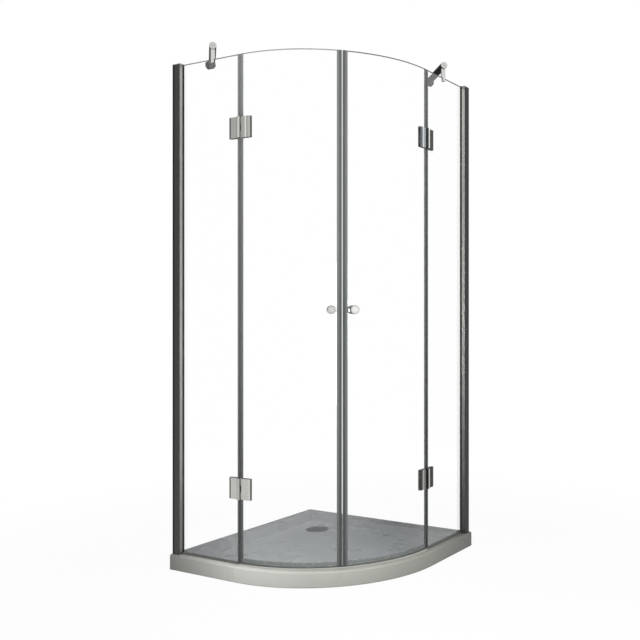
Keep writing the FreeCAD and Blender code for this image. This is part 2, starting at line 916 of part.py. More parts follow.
def curved_band(inner, outer, start, end):
    """An outline between two radii about the doors' centre, from one angle to another."""
    centre = (centre_x, centre_y)
    return [
        on_curve(inner, start),
        on_curve(outer, start),
        (*on_curve(outer, end), centre, 1),
        on_curve(inner, end),
        (*on_curve(inner, start), centre, -1),
    ][1:]


def make_door_glass():
    """Curved door pane with a short straight run at its hinge edge, drilled for hinges and knob."""
    centre = (centre_x, centre_y)
    outer, inner = glass_radius + half_glass, glass_radius - half_glass
    end = MEETING_ANGLE - glass_end
    pane = prism("door_pane", [
        (door_edge, glass_line + half_glass),
        (door_edge, glass_line - half_glass),
        (centre_x, glass_line - half_glass),
        (*on_curve(outer, end), centre, 1),
        on_curve(inner, end),
        (centre_x, glass_line + half_glass, centre, -1),
    ], door_glass_bottom, glass_top)
    start = -(outer + CUT_SPARE)
    reach = d.glass_thickness + CUT_SPARE * 2
    hinge_holes = []
    for level in hinge_screw_levels():
        name = f"door_hole_{len(hinge_holes)}"
        hinge_holes.append(rod(name, d.glass_hole_radius, reach, 0, start, level, ALONG_Y))
    hinge_side = put(group("hinge_holes", hinge_holes), centre_x, centre_y, 0, turn=leaf_angle)
    radius = d.knob_stud_radius + d.knob_hole_clearance
    knob_hole = rod("knob_hole", radius, reach, 0, start, knob_level, ALONG_Y)
    knob_side = put(group("knob_holes", [knob_hole]), centre_x, centre_y, 0, turn=knob_angle)
    return cut("door_glass_left", pane, [hinge_side, knob_side])


leaf_angle = arc_angle(d.leaf_near_edge + d.door_leaf_width / 2 - d.hinge_flat)
knob_angle = MEETING_ANGLE - arc_angle(d.knob_from_meeting)


def make_magnet_seal():
    """Closing seal on the door's free edge: two legs over the glass and a nose for the magnet."""
    centre = (centre_x, centre_y)
    legs_out, legs_in = glass_radius + seal_half, glass_radius - seal_half
    slot_out, slot_in = glass_radius + slot_half, glass_radius - slot_half
    nose_out = glass_radius + d.magnet_nose_width / 2
    nose_in = glass_radius - d.magnet_nose_width / 2
    tip, nose = MEETING_ANGLE - magnet_face, MEETING_ANGLE - nose_back
    slot, leg = MEETING_ANGLE - slot_end, MEETING_ANGLE - leg_end
    return prism("magnet_seal_left", [
        on_curve(legs_out, leg),
        (*on_curve(legs_out, nose), centre, 1),
        on_curve(nose_out, nose),
        (*on_curve(nose_out, tip), centre, 1),
        on_curve(nose_in, tip),
        (*on_curve(nose_in, nose), centre, -1),
        on_curve(legs_in, nose),
        (*on_curve(legs_in, leg), centre, -1),
        on_curve(slot_in, leg),
        (*on_curve(slot_in, slot), centre, 1),
        on_curve(slot_out, slot),
        (*on_curve(slot_out, leg), centre, -1),
    ], door_seal_bottom, glass_top, [magnet_outline(d.seal_wall, 0)])


def magnet_outline(wall, gap):
    """The magnet's section, or with no gap the chamber of the nose around it."""
    outer = glass_radius + d.magnet_nose_width / 2 - wall - gap
    inner = glass_radius - d.magnet_nose_width / 2 + wall + gap
    setback = d.magnet_gap / 2 + d.magnet_setback
    near = MEETING_ANGLE - arc_angle(setback + gap)
    far = MEETING_ANGLE - arc_angle(setback + d.magnet_length - gap)
    return curved_band(inner, outer, far, near)


def make_magnet_strip():
    outline = magnet_outline(d.seal_wall, d.magnet_play)
    return prism("magnet_strip_left", outline, door_seal_bottom, glass_top)


def make_hinge_edge_seal():
    """Clip-on seal on the door's hinge edge, with a soft bulb that closes the gap."""
    centre = (centre_x, centre_y)
    legs_out, legs_in = glass_radius + seal_half, glass_radius - seal_half
    slot_out, slot_in = glass_radius + slot_half, glass_radius - slot_half
    web = door_edge - d.seal_wall
    slot = door_edge - d.seat_gap
    leg = arc_angle(d.seal_leg)
    bulb = (web - panel_edge - d.seal_wall - d.running_gap) * d.hinge_bulb_share
    outline = [
        (web, glass_line - seal_half),
        (centre_x, glass_line - seal_half),
        (*on_curve(legs_out, leg), centre, 1),
        on_curve(slot_out, leg),
        (centre_x, glass_line - slot_half, centre, -1),
        (slot, glass_line - slot_half),
        (slot, glass_line + slot_half),
        (centre_x, glass_line + slot_half),
        (*on_curve(slot_in, leg), centre, 1),
        on_curve(legs_in, leg),
        (centre_x, glass_line + seal_half, centre, -1),
        (web, glass_line + seal_half),
        (web, glass_line + bulb / 2),
        (web, glass_line - bulb / 2, (web, glass_line), 1),
    ]
    spans = seal_lengths(door_seal_bottom)
    lengths = [prism("hinge_seal_length", outline, low, high) for low, high in spans]
    return group("hinge_edge_seal_left", lengths)


def make_door_bottom_seal():
    """Push-on seal along the door's lower edge, with a fin that brushes the threshold."""
    start = arc_angle(d.seal_leg + d.running_gap)
    end = MEETING_ANGLE - leg_end - arc_angle(d.running_gap)
    web_bottom = door_glass_bottom - d.door_seal_web
    top = web_bottom + d.door_seal_height
    fin_bottom = web_bottom - d.door_seal_fin
    seal = new_body("door_bottom_seal_left")
    sides = curved_band(glass_radius - seal_half, glass_radius + seal_half, start, end)
    pad_outline(seal, sides, web_bottom, top)
    groove = new_sketch(seal, top)
    ends = arc_angle(size(CUT_SPARE))
    slot = curved_band(glass_radius - slot_half, glass_radius + slot_half, start - ends, end + ends)
    draw_outline(groove, slot)
    extrude(seal, groove, top - door_glass_bottom, "PartDesign::Pocket")
    fin = curved_band(glass_radius - d.seal_wall, glass_radius + d.seal_wall, start, end)
    pad_outline(seal, fin, fin_bottom, web_bottom)
    return seal


# ---------------------------------------------------------------- hinges
# The frame side is drawn about the pivot, the door side about the doors' centre, turned so
# that its leaf lies along the curved glass.

leaf_gap = half_glass + d.hinge_gasket
sagitta = d.door_leaf_width * d.door_leaf_width / (glass_radius * 8)
pivot_from_centre_x = -d.hinge_flat
pivot_from_centre_y = pivot_y - centre_y
turned_pivot_x = pivot_from_centre_x * cosine(leaf_angle) + pivot_from_centre_y * sine(leaf_angle)
turned_pivot_y = pivot_from_centre_y * cosine(leaf_angle) - pivot_from_centre_x * sine(leaf_angle)
knuckle_split = d.door_knuckle_height / 2
screw_seat = d.leaf_thickness - d.hinge_head_height - d.hinge_head_inset


def knuckle(pivot_x, pivot_y, edge_x, outer_y, inner_y, side):
    """A barrel section joined to its leaf's near edge; side is -1 for a leaf on the left."""
    reach = d.barrel_radius
    outer_run = root(reach * reach - (size(outer_y) - pivot_y) * (size(outer_y) - pivot_y))
    inner_run = root(reach * reach - (size(inner_y) - pivot_y) * (size(inner_y) - pivot_y))
    return [
        (edge_x, outer_y),
        (pivot_x + outer_run * side, outer_y),
        (pivot_x + inner_run * side, inner_y, (pivot_x, pivot_y), -side),
        (edge_x, inner_y),
    ]


def bore_pin(body, x, y):
    """Run the pin's hole through a leaf's barrel."""
    top = d.hinge_height / 2 + CUT_SPARE
    drawing = new_sketch(body, top)
    draw_circle(drawing, x, y, d.pin_radius + d.pin_clearance)
    extrude(body, drawing, d.hinge_height + CUT_SPARE * 2, "PartDesign::Pocket")


def make_frame_leaf(name, level):
    """Outer leaf on the fixed pane, with the upper and lower barrel sections."""
    half = d.hinge_height / 2
    inner_y = d.pivot_offset - leaf_gap
    outer_y = inner_y - d.leaf_thickness
    near, far = -d.leaf_near_edge, -d.leaf_near_edge - d.frame_leaf_width
    body = new_body(f"frame_leaf_{name}_bare")
    pad_outline(body, [
        (far, inner_y),
        (far, outer_y + d.leaf_bevel_depth),
        (far + d.leaf_bevel_width, outer_y),
        (near, outer_y),
        (near, inner_y),
    ], -half, half)
    outline = knuckle(size(0), size(0), near, outer_y, inner_y, -1)
    gap = knuckle_split + d.running_gap
    pad_outline(body, outline, -half, -gap)
    pad_outline(body, outline, gap, half)
    bore_pin(body, 0, 0)
    x = near - d.frame_leaf_width / 2
    taps = tap_rods(f"frame_tap_{name}", x, inner_y)
    return put(cut(f"hinge_frame_leaf_{name}_left", body, taps), hinge_line, pivot_y, level)


def screw_rods(name, radius, length, x, y):
    """The hinge's two screw positions as rods along Y."""
    levels = [d.hinge_screw_spacing * sign / 2 for sign in (-1, 1)]
    return [rod(f"{name}_{n}", radius, length, x, y, level, ALONG_Y) for n, level in enumerate(levels)]


def tap_rods(name, x, face):
    """The two tapped holes in an outer leaf, from its glass side."""
    radius = d.hinge_screw_radius + d.pin_clearance
    return screw_rods(name, radius, d.hinge_tap_depth + CUT_SPARE, x, face - d.hinge_tap_depth)


def make_door_leaf(name, level):
    """Outer leaf on the door, tilted to lie along the curve, with the middle barrel section."""
    half = d.hinge_height / 2
    inner_y = -(glass_radius + leaf_gap)
    outer_y = inner_y - d.leaf_thickness
    near, far = -d.door_leaf_width / 2, d.door_leaf_width / 2
    body = new_body(f"door_leaf_{name}_bare")
    pad_outline(body, [
        (near, inner_y),
        (near, outer_y),
        (far - d.leaf_bevel_width, outer_y),
        (far, outer_y + d.leaf_bevel_depth),
        (far, inner_y),
    ], -half, half)
    outline = knuckle(turned_pivot_x, turned_pivot_y, near, outer_y, inner_y, 1)
    pad_outline(body, outline, -knuckle_split, knuckle_split)
    bore_pin(body, turned_pivot_x, turned_pivot_y)
    taps = tap_rods(f"door_tap_{name}", 0, inner_y)
    return put(cut(f"hinge_door_leaf_{name}_left", body, taps), centre_x, centre_y, level, turn=leaf_angle)


def clamp_plate(name, near, far, glass_side, step):
    """Inner clamp plate, bevelled at its far edge, with recessed screw holes; step is +1 or -1
    along X from the near to the far edge."""
    half = d.hinge_height / 2
    inside = glass_side + d.leaf_thickness
    plate = prism(name + "_bare", [
        (near, glass_side),
        (near, inside),
        (far - d.clamp_bevel * step, inside),
        (far, inside - d.clamp_bevel),
        (far, glass_side),
    ], -half, half)
    x = (near + far) / 2
    shank_radius = d.hinge_screw_radius + d.hinge_shank_clearance
    head_radius = d.hinge_head_radius + d.hinge_head_clearance
    reach = d.leaf_thickness + CUT_SPARE * 2
    shanks = screw_rods(name + "_shank", shank_radius, reach, x, glass_side - CUT_SPARE)
    heads = screw_rods(name + "_head", head_radius, d.leaf_thickness, x, glass_side + screw_seat)
    tools = [fuse(f"{name}_hole_{index}", list(pair)) for index, pair in enumerate(zip(shanks, heads))]
    return cut(name, plate, tools)


def make_screws(name, x, seat, tip):
    """Two pan-head screws along Y, from the clamp's recess into the outer leaf."""
    shanks = screw_rods(name + "_shank", d.hinge_screw_radius, seat - tip, x, tip)
    heads = screw_rods(name + "_head", d.hinge_head_radius, d.hinge_head_height, x, seat)
    return [fuse(f"{name}_{index}", list(pair)) for index, pair in enumerate(zip(shanks, heads))]


def make_frame_hinge_parts():
    """Clamps, gaskets, screws and pins of the frame side, for both levels."""
    near, far = -d.leaf_near_edge, -d.leaf_near_edge - d.frame_leaf_width
    x = (near + far) / 2
    outer = d.pivot_offset - leaf_gap
    inner = d.pivot_offset + leaf_gap
    half = d.hinge_height / 2
    clamps, gaskets, screws, pins = [], [], [], []
    for name, level in hinge_levels.items():
        place = (hinge_line, pivot_y, level)
        clamps.append(put(clamp_plate(f"frame_clamp_{name}", near, far, inner, -1), *place))
        for side, low in (("outer", outer), ("inner", inner - d.hinge_gasket + d.seat_gap)):
            sheet_name = f"frame_gasket_{side}_{name}"
            high = low + d.hinge_gasket - d.seat_gap
            flat = prism(sheet_name + "_bare", box_outline(far, low, near, high), -half, half)
            radius = d.hinge_screw_radius + d.gasket_hole_clearance
            reach = d.hinge_gasket + CUT_SPARE * 2
            holes = screw_rods(sheet_name + "_hole", radius, reach, x, low - CUT_SPARE)
            gaskets.append(put(cut(sheet_name, flat, holes), *place))
        pair = make_screws(f"frame_screw_{name}", x, inner + screw_seat, outer - d.hinge_screw_bite)
        screws.append(put(group(f"frame_screws_{name}", pair), *place))
        shaft = rod(f"pin_shaft_{name}", d.pin_radius, d.hinge_height, 0, 0, -half)
        head = rod(f"pin_head_{name}", d.pin_head_radius, d.pin_head_height, 0, 0, half)
        pins.append(put(fuse(f"pin_{name}", [shaft, head]), *place))
    return {"clamps": clamps, "gaskets": gaskets, "screws": screws, "pins": pins}


def make_door_hinge_parts():
    """Clamps, gaskets and screws of the door side, for both levels."""
    half_width = d.door_leaf_width / 2
    outer = -(glass_radius + leaf_gap)
    inner = -(glass_radius - leaf_gap - sagitta)
    clamps, gaskets, screws = [], [], []
    for name, level in hinge_levels.items():
        place = (centre_x, centre_y, level)
        clamp = clamp_plate(f"door_clamp_{name}", -half_width, half_width, inner, 1)
        clamps.append(put(clamp, *place, turn=leaf_angle))
        for side, flat_y, radius in (
            ("outer", outer, glass_radius + slot_half),
            ("inner", inner, glass_radius - slot_half),
        ):
            gasket = door_gasket(f"door_gasket_{side}_{name}", flat_y, radius, half_width)
            gaskets.append(put(gasket, *place, turn=leaf_angle))
        tip = outer - d.hinge_screw_bite
        pair = make_screws(f"door_screw_{name}", size(0), inner + screw_seat, tip)
        screws.append(put(group(f"door_screws_{name}", pair), *place, turn=leaf_angle))
    return {"clamps": clamps, "gaskets": gaskets, "screws": screws}


def door_gasket(name, flat_y, radius, half_width):
    """A thin pad, flat against the plate and curved against the glass."""
    half = d.hinge_height / 2
    rim_y = -root(radius * radius - half_width * half_width)
    if flat_y.value < rim_y.value:
        outline = [
            (-half_width, flat_y),
            (half_width, flat_y),
            (half_width, rim_y),
            (-half_width, rim_y, (0, 0), -1),
        ]
    else:
        outline = [
            (-half_width, flat_y),
            (-half_width, rim_y),
            (half_width, rim_y, (0, 0), 1),
            (half_width, flat_y),
        ]
    flat = prism(name + "_bare", outline, -half, half)
    reach = d.hinge_gasket + sagitta + CUT_SPARE
    radius = d.hinge_screw_radius + d.gasket_hole_clearance
    holes = screw_rods(name + "_hole", radius, reach * 2, 0, flat_y - reach)
    return cut(name, flat, holes)


# ---------------------------------------------------------------- knobs and support arms


def knob_profile(base, way):
    """Half section of a knob, from its seat on the glass outwards along way."""
    radius, neck = d.knob_radius, d.knob_neck_radius
    bore, end = d.knob_stud_radius + d.pin_clearance, d.knob_length
    back = d.knob_neck_length + d.knob_flare
    ring_outer = radius - d.knob_ring_inset
    ring_inner = ring_outer - d.knob_ring_width
    ring_floor = end - d.knob_ring_depth
    bore_end = d.knob_stud_bite + d.knob_bore_spare
    section = [
        (bore, 0),
        (neck + d.knob_neck_foot, 0),
        (neck, d.knob_neck_foot),
        (neck, d.knob_neck_length),
        (radius - d.knob_back_edge, back),
        (radius, back + d.knob_back_edge),
        (radius, end - d.knob_face_edge),
        (radius - d.knob_face_edge, end),
        (ring_outer, end),
        (ring_outer - d.knob_ring_slope, ring_floor),
        (ring_inner + d.knob_ring_slope, ring_floor),
        (ring_inner, end),
        (0, end),
        (0, bore_end),
        (bore, bore_end),
    ]
    return [(r, base + size(n) * way) for r, n in section]


def make_knobs():
    """Two equal knobs, outside and inside, on one stud through the glass."""
    outer_seat = -(glass_radius + half_glass + d.knob_seat)
    inner_seat = -(glass_radius - half_glass - d.knob_seat)
    outside = lathe("knob_outside", knob_profile(outer_seat, -1))
    inside = lathe("knob_inside", knob_profile(inner_seat, 1))
    start = outer_seat - d.knob_stud_bite
    length = inner_seat + d.knob_stud_bite - start
    bare_stud = rod("stud", d.knob_stud_radius, length, 0, start, 0, ALONG_Y)
    place = (centre_x, centre_y, knob_level)
    stud = put(group("knob_stud_left", [bare_stud]), *place, turn=knob_angle)
    knobs = put(group("door_knobs_left", [outside, inside]), *place, turn=knob_angle)
    return knobs, stud


arm_x = wall_face + d.arm_reach
arm_z = glass_top + d.arm_above_glass
arm_length = (d.arm_reach - d.ball_from_wall) * math.sqrt(2)
bar_bore = d.bar_radius - d.bar_wall
tube_end = arm_length - root(d.ball_radius * d.ball_radius - bar_bore * bar_bore) - d.ball_gap


def make_support_clamp():
    """Upright stem with a slot that sits on the pane's top edge."""
    bottom = glass_top - d.stem_bite
    top = arm_z + d.stem_in_bar
    narrow = d.stem_radius - d.stem_edge
    stem = upright_lathe("stem", [
        (0, bottom),
        (narrow, bottom),
        (d.stem_radius, bottom + d.stem_edge),
        (d.stem_radius, top - d.stem_edge),
        (narrow, top),
        (0, top),
    ])
    slot = document.addObject("Part::Box", "stem_slot")
    width = d.glass_thickness + d.running_gap
    bind(slot, "Length", d.stem_radius * 4)
    bind(slot, "Width", width)
    bind(slot, "Height", d.stem_bite + CUT_SPARE)
    put(slot, d.stem_radius * -2, -width / 2, bottom - CUT_SPARE + d.seat_gap)
    level = glass_top - d.grub_below_top
    radius = d.grub_radius + d.seat_gap
    hole = rod("grub_hole", radius, d.stem_radius * 2, 0, half_glass / 2, level, ALONG_Y)
    tools = [fuse("stem_spaces", [slot, hole])]
    return put(cut("support_clamp_left", stem, tools), arm_x, glass_line, 0)


def make_support_bar():
    """Closed-end tube from above the pane to the wall, at 45 degrees."""
    nose, radius = -d.bar_nose, d.bar_radius
    dimple = nose + d.bar_dimple_slope
    inside = nose + d.bar_end_wall
    tube = lathe("bar_tube", [
        (dimple, 0),
        (dimple, d.bar_dimple_radius - d.bar_dimple_slope),
        (nose, d.bar_dimple_radius),
        (nose, radius - d.bar_edge),
        (nose + d.bar_edge, radius),
        (tube_end, radius),
        (tube_end, bar_bore),
        (inside, bar_bore),
        (inside, 0),
    ], "H_Axis")
    reach = radius + CUT_SPARE
    mouth = rod("bar_mouth", d.stem_radius + d.seat_gap, reach, 0, 0, -reach)
    return put(cut("support_bar_left", tube, [mouth]), arm_x, glass_line, arm_z, turn=BRACE_TURN)


def make_support_flange():
    """Wall rose with a ball and a spigot that plugs into the bar; a wall bolt screws into its back."""
    wall, rose = -d.ball_from_wall, d.ball_radius
    neck, ball = d.flange_neck_radius, d.ball_radius
    front = wall + d.flange_thickness
    start = -root(ball * ball - neck * neck)
    turned = lathe("flange_turned", [
        (wall + d.wall_bolt_depth, 0),
        (wall + d.wall_bolt_depth, d.wall_bolt_radius),
        (wall, d.wall_bolt_radius),
        (wall, rose),
        (front - d.flange_edge, rose),
        (front, rose - d.flange_edge),
        (front, neck),
        (start, neck),
        (ball, 0, (0, 0), -1),
    ], "H_Axis")
    tilted = FreeCAD.Rotation(FreeCAD.Vector(0, 0, 1), BRACE_TURN - HALF_TURN).multiply(ALONG_X)
    spigot = rod("spigot", bar_bore - d.seat_gap, d.spigot_length, 0, 0, 0, tilted)
    ball_x = wall_face + d.ball_from_wall
    ball_y = glass_line + d.arm_reach - d.ball_from_wall
    return put(fuse("support_flange_left", [turned, spigot]), ball_x, ball_y, arm_z)


def make_grub_screws():
    level = glass_top - d.grub_below_top
    start = glass_line + half_glass + d.seat_gap
    return rod("grub_screw", d.grub_radius, d.grub_length, arm_x, start, level, ALONG_Y)


# ---------------------------------------------------------------- the whole enclosure


def build():
    """Make every node, by name."""
    nodes = {"shower_tray": make_tray(), "threshold_strip": make_threshold()}
    nodes.update(make_waste())
    knobs, stud = make_knobs()
    door_parts = make_door_hinge_parts()
    left = {
        "wall_channel": make_wall_channel(),
        "glazing_profile": make_glazing_profile(),
        "profile_cap": make_profile_cap(),
        "panel_gasket": make_panel_gaskets(),
        "fixed_glass": make_fixed_glass(),
        "panel_bottom_seal": make_panel_bottom_seal(),
        "panel_edge_seal": make_panel_edge_seal(),
        "support_clamp": make_support_clamp(),
        "support_bar": make_support_bar(),
        "support_flange": make_support_flange(),
        "door_glass": make_door_glass(),
        "magnet_seal": make_magnet_seal(),
        "magnet_strip": make_magnet_strip(),
        "hinge_edge_seal": make_hinge_edge_seal(),
        "door_bottom_seal": make_door_bottom_seal(),
        "door_knobs": knobs,
        "knob_stud": stud,
        "hinge_door_clamps": group("hinge_door_clamps_left", door_parts["clamps"]),
        "hinge_door_gaskets": group("hinge_door_gaskets_left", door_parts["gaskets"]),
        "hinge_door_screws": group("hinge_door_screws_left", door_parts["screws"]),
    }
    for name, level in hinge_levels.items():
        left[f"hinge_frame_leaf_{name}"] = make_frame_leaf(name, level)
        left[f"hinge_door_leaf_{name}"] = make_door_leaf(name, level)
    for name, piece in left.items():
        nodes[f"{name}_left"] = piece
        nodes[f"{name}_right"] = mirror(f"{name}_right", piece)
    frame_parts = make_frame_hinge_parts()
    shared = {
        "hinge_frame_clamps": frame_parts["clamps"],
        "hinge_frame_gaskets": frame_parts["gaskets"],
        "hinge_frame_screws": frame_parts["screws"],
        "hinge_pins": frame_parts["pins"],
        "profile_lock_screws": [make_lock_screws()],
        "support_grub_screws": [make_grub_screws()],
    }
    for name, pieces in shared.items():
        first = group(f"{name}_first_side", pieces)
        nodes[name] = group(name, [first, mirror(f"{name}_other_side", first)])
    return nodes


def check(nodes):
    """Stop if any object failed to compute or any node is empty or not valid."""
    for item in document.Objects:
        if "Invalid" in item.State or "Error" in item.State:
            raise RuntimeError(f"{item.Name} did not compute: {item.State}")
    for name, piece in nodes.items():
        shape = piece.Shape
        if shape.isNull() or not shape.isValid() or not shape.Solids:
            raise RuntimeError(f"{name} has no valid solid")


def export(nodes):
    os.makedirs("parts", exist_ok=True)
    for name, piece in nodes.items():
        piece.Shape.exportStep(f"parts/{name}.step")


enclosure = build()
document.recompute()
check(enclosure)
export(enclosure)
print(len(enclosure), "nodes written")
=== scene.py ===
"""Quadrant shower enclosure: the finishes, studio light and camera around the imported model."""

import json
import logging
import math
from dataclasses import dataclass
from enum import Enum

import bpy
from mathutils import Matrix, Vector


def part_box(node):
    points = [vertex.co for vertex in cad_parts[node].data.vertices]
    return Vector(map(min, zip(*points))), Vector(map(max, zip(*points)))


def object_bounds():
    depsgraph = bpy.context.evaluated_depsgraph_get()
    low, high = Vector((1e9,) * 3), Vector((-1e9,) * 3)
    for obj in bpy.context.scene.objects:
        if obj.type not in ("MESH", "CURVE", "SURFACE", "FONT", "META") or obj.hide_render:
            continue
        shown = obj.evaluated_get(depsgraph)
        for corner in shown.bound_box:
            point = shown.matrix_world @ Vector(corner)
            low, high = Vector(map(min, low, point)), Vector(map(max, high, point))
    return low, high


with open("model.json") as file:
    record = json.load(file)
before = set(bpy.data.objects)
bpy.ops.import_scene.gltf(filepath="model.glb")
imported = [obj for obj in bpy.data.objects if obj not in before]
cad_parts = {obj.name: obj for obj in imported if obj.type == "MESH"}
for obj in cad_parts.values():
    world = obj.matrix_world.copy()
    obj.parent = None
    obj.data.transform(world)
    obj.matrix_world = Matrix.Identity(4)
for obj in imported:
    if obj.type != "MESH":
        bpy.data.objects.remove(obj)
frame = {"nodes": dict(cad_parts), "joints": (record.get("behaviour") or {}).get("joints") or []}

CAD_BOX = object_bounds()
LOG = logging.getLogger("shower")
Colour = tuple[float, float, float]
Place = tuple[float, float, float]
Range = tuple[float, float]

HALF_SIDE = CAD_BOX[1].x
CORNER_RADIUS = 0.55
ARC_CENTRE = Vector((HALF_SIDE - CORNER_RADIUS, CORNER_RADIUS - HALF_SIDE, 0))
RIM_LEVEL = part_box("shower_tray")[1].z
GLASS_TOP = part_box("fixed_glass_left")[1].z
PIVOTS = {joint["name"]: Vector(joint["pos_m"]) for joint in frame["joints"] if "pos_m" in joint}

UP = Vector((0, 0, 1))
TONE_HEIGHTS = (0.0, 2.0)  # colours that change with height, as painted light, run between these heights, in metres
MIX_COLOURS = (6, 7)  # a Mix node's two colour inputs, whose names its other inputs share
MIX_RESULT = 2


def colour(code: str) -> Colour:
    """Turn a display colour into the linear values that shaders take.

    Args:
        code: Six hexadecimal digits, red first.

    Returns:
        The linear red, green and blue.
    """
    parts = [int(code[i : i + 2], 16) / 255 for i in (0, 2, 4)]
    return tuple(p / 12.92 if p <= 0.04045 else ((p + 0.055) / 1.055) ** 2.4 for p in parts)


def lighter(tone: Colour, gain: float) -> Colour:
    """Return a linear colour made lighter by a factor."""
    return tuple(part * gain for part in tone)


class Side(Enum):
    """The two mirrored halves, as seen in the photograph."""

    LEFT = "left"
    RIGHT = "right"

    def place(self, x: float, y: float, z: float) -> Place:
        """Return the point of this side for a point given on the left side."""
        return (x, y, z) if self is Side.LEFT else (-y, -x, z)

    @property
    def outward(self) -> Place:
        """The direction in which this side's flat pane faces outwards."""
        return self.place(0, -1, 0)

    @property
    def inward(self) -> Place:
        """The direction from this side's wall along its flat pane."""
        return self.place(1, 0, 0)


class Level(Enum):
    """The two hinges of a door."""

    UPPER = "upper"
    LOWER = "lower"


class Leaf(Enum):
    """The two outer leaves of a hinge."""

    FRAME = "frame"
    DOOR = "door"


class Socket:
    """A shader output on which Python's operators add Math nodes."""

    def __init__(self, graph: "Graph", raw: bpy.types.NodeSocket) -> None:
        """Wrap one output of a node in graph."""
        self.graph = graph
        self.raw = raw

    def other(self, name: str) -> "Socket":
        """Return another output of the same node."""
        return Socket(self.graph, self.raw.node.outputs[name])

    def __add__(self, value: "Socket | float") -> "Socket":
        """Add a value."""
        return self.graph.math("ADD", self, value)

    def __sub__(self, value: "Socket | float") -> "Socket":
        """Take a value away."""
        return self.graph.math("SUBTRACT", self, value)

    def __mul__(self, value: "Socket | float") -> "Socket":
        """Multiply by a value."""
        return self.graph.math("MULTIPLY", self, value)

    def __truediv__(self, value: float) -> "Socket":
        """Divide by a value."""
        return self.graph.math("DIVIDE", self, value)

    def __radd__(self, value: float) -> "Socket":
        """Add to a value."""
        return self.graph.math("ADD", value, self)

    def __rsub__(self, value: float) -> "Socket":
        """Take away from a value."""
        return self.graph.math("SUBTRACT", value, self)

    def __rmul__(self, value: float) -> "Socket":
        """Multiply a value."""
        return self.graph.math("MULTIPLY", value, self)

    def __pow__(self, value: float) -> "Socket":
        """Raise to a power."""
        return self.graph.math("POWER", self, value)

    def highest(self, value: "Socket | float") -> "Socket":
        """Return the larger of this and a value."""
        return self.graph.math("MAXIMUM", self, value)

    def lowest(self, value: "Socket | float") -> "Socket":
        """Return the smaller of this and a value."""
        return self.graph.math("MINIMUM", self, value)

    def size(self) -> "Socket":
        """Return the value without its sign."""
        return self.graph.math("ABSOLUTE", self, 0.0)

    def above(self, start: float, end: float) -> "Socket":
        """Turn the value into a soft step.

        Args:
            start: Where the step begins, at 0.
            end: Where it ends, at 1.

        Returns:
            The step.
        """
        settings = {"interpolation_type": "SMOOTHSTEP"}
        sockets = {"Value": self, "From Min": start, "From Max": end}
        return self.graph.node("ShaderNodeMapRange", settings, sockets)

    def past(self, place: float, soft: float) -> "Socket":
        """Return a step from 0 to 1 at place, which is soft for that length on both sides."""
        return self.above(place - soft, place + soft)

    def between(self, low: float, high: float) -> "Socket":
        """Return low where this is 0 and high where it is 1."""
        return low + (high - low) * self


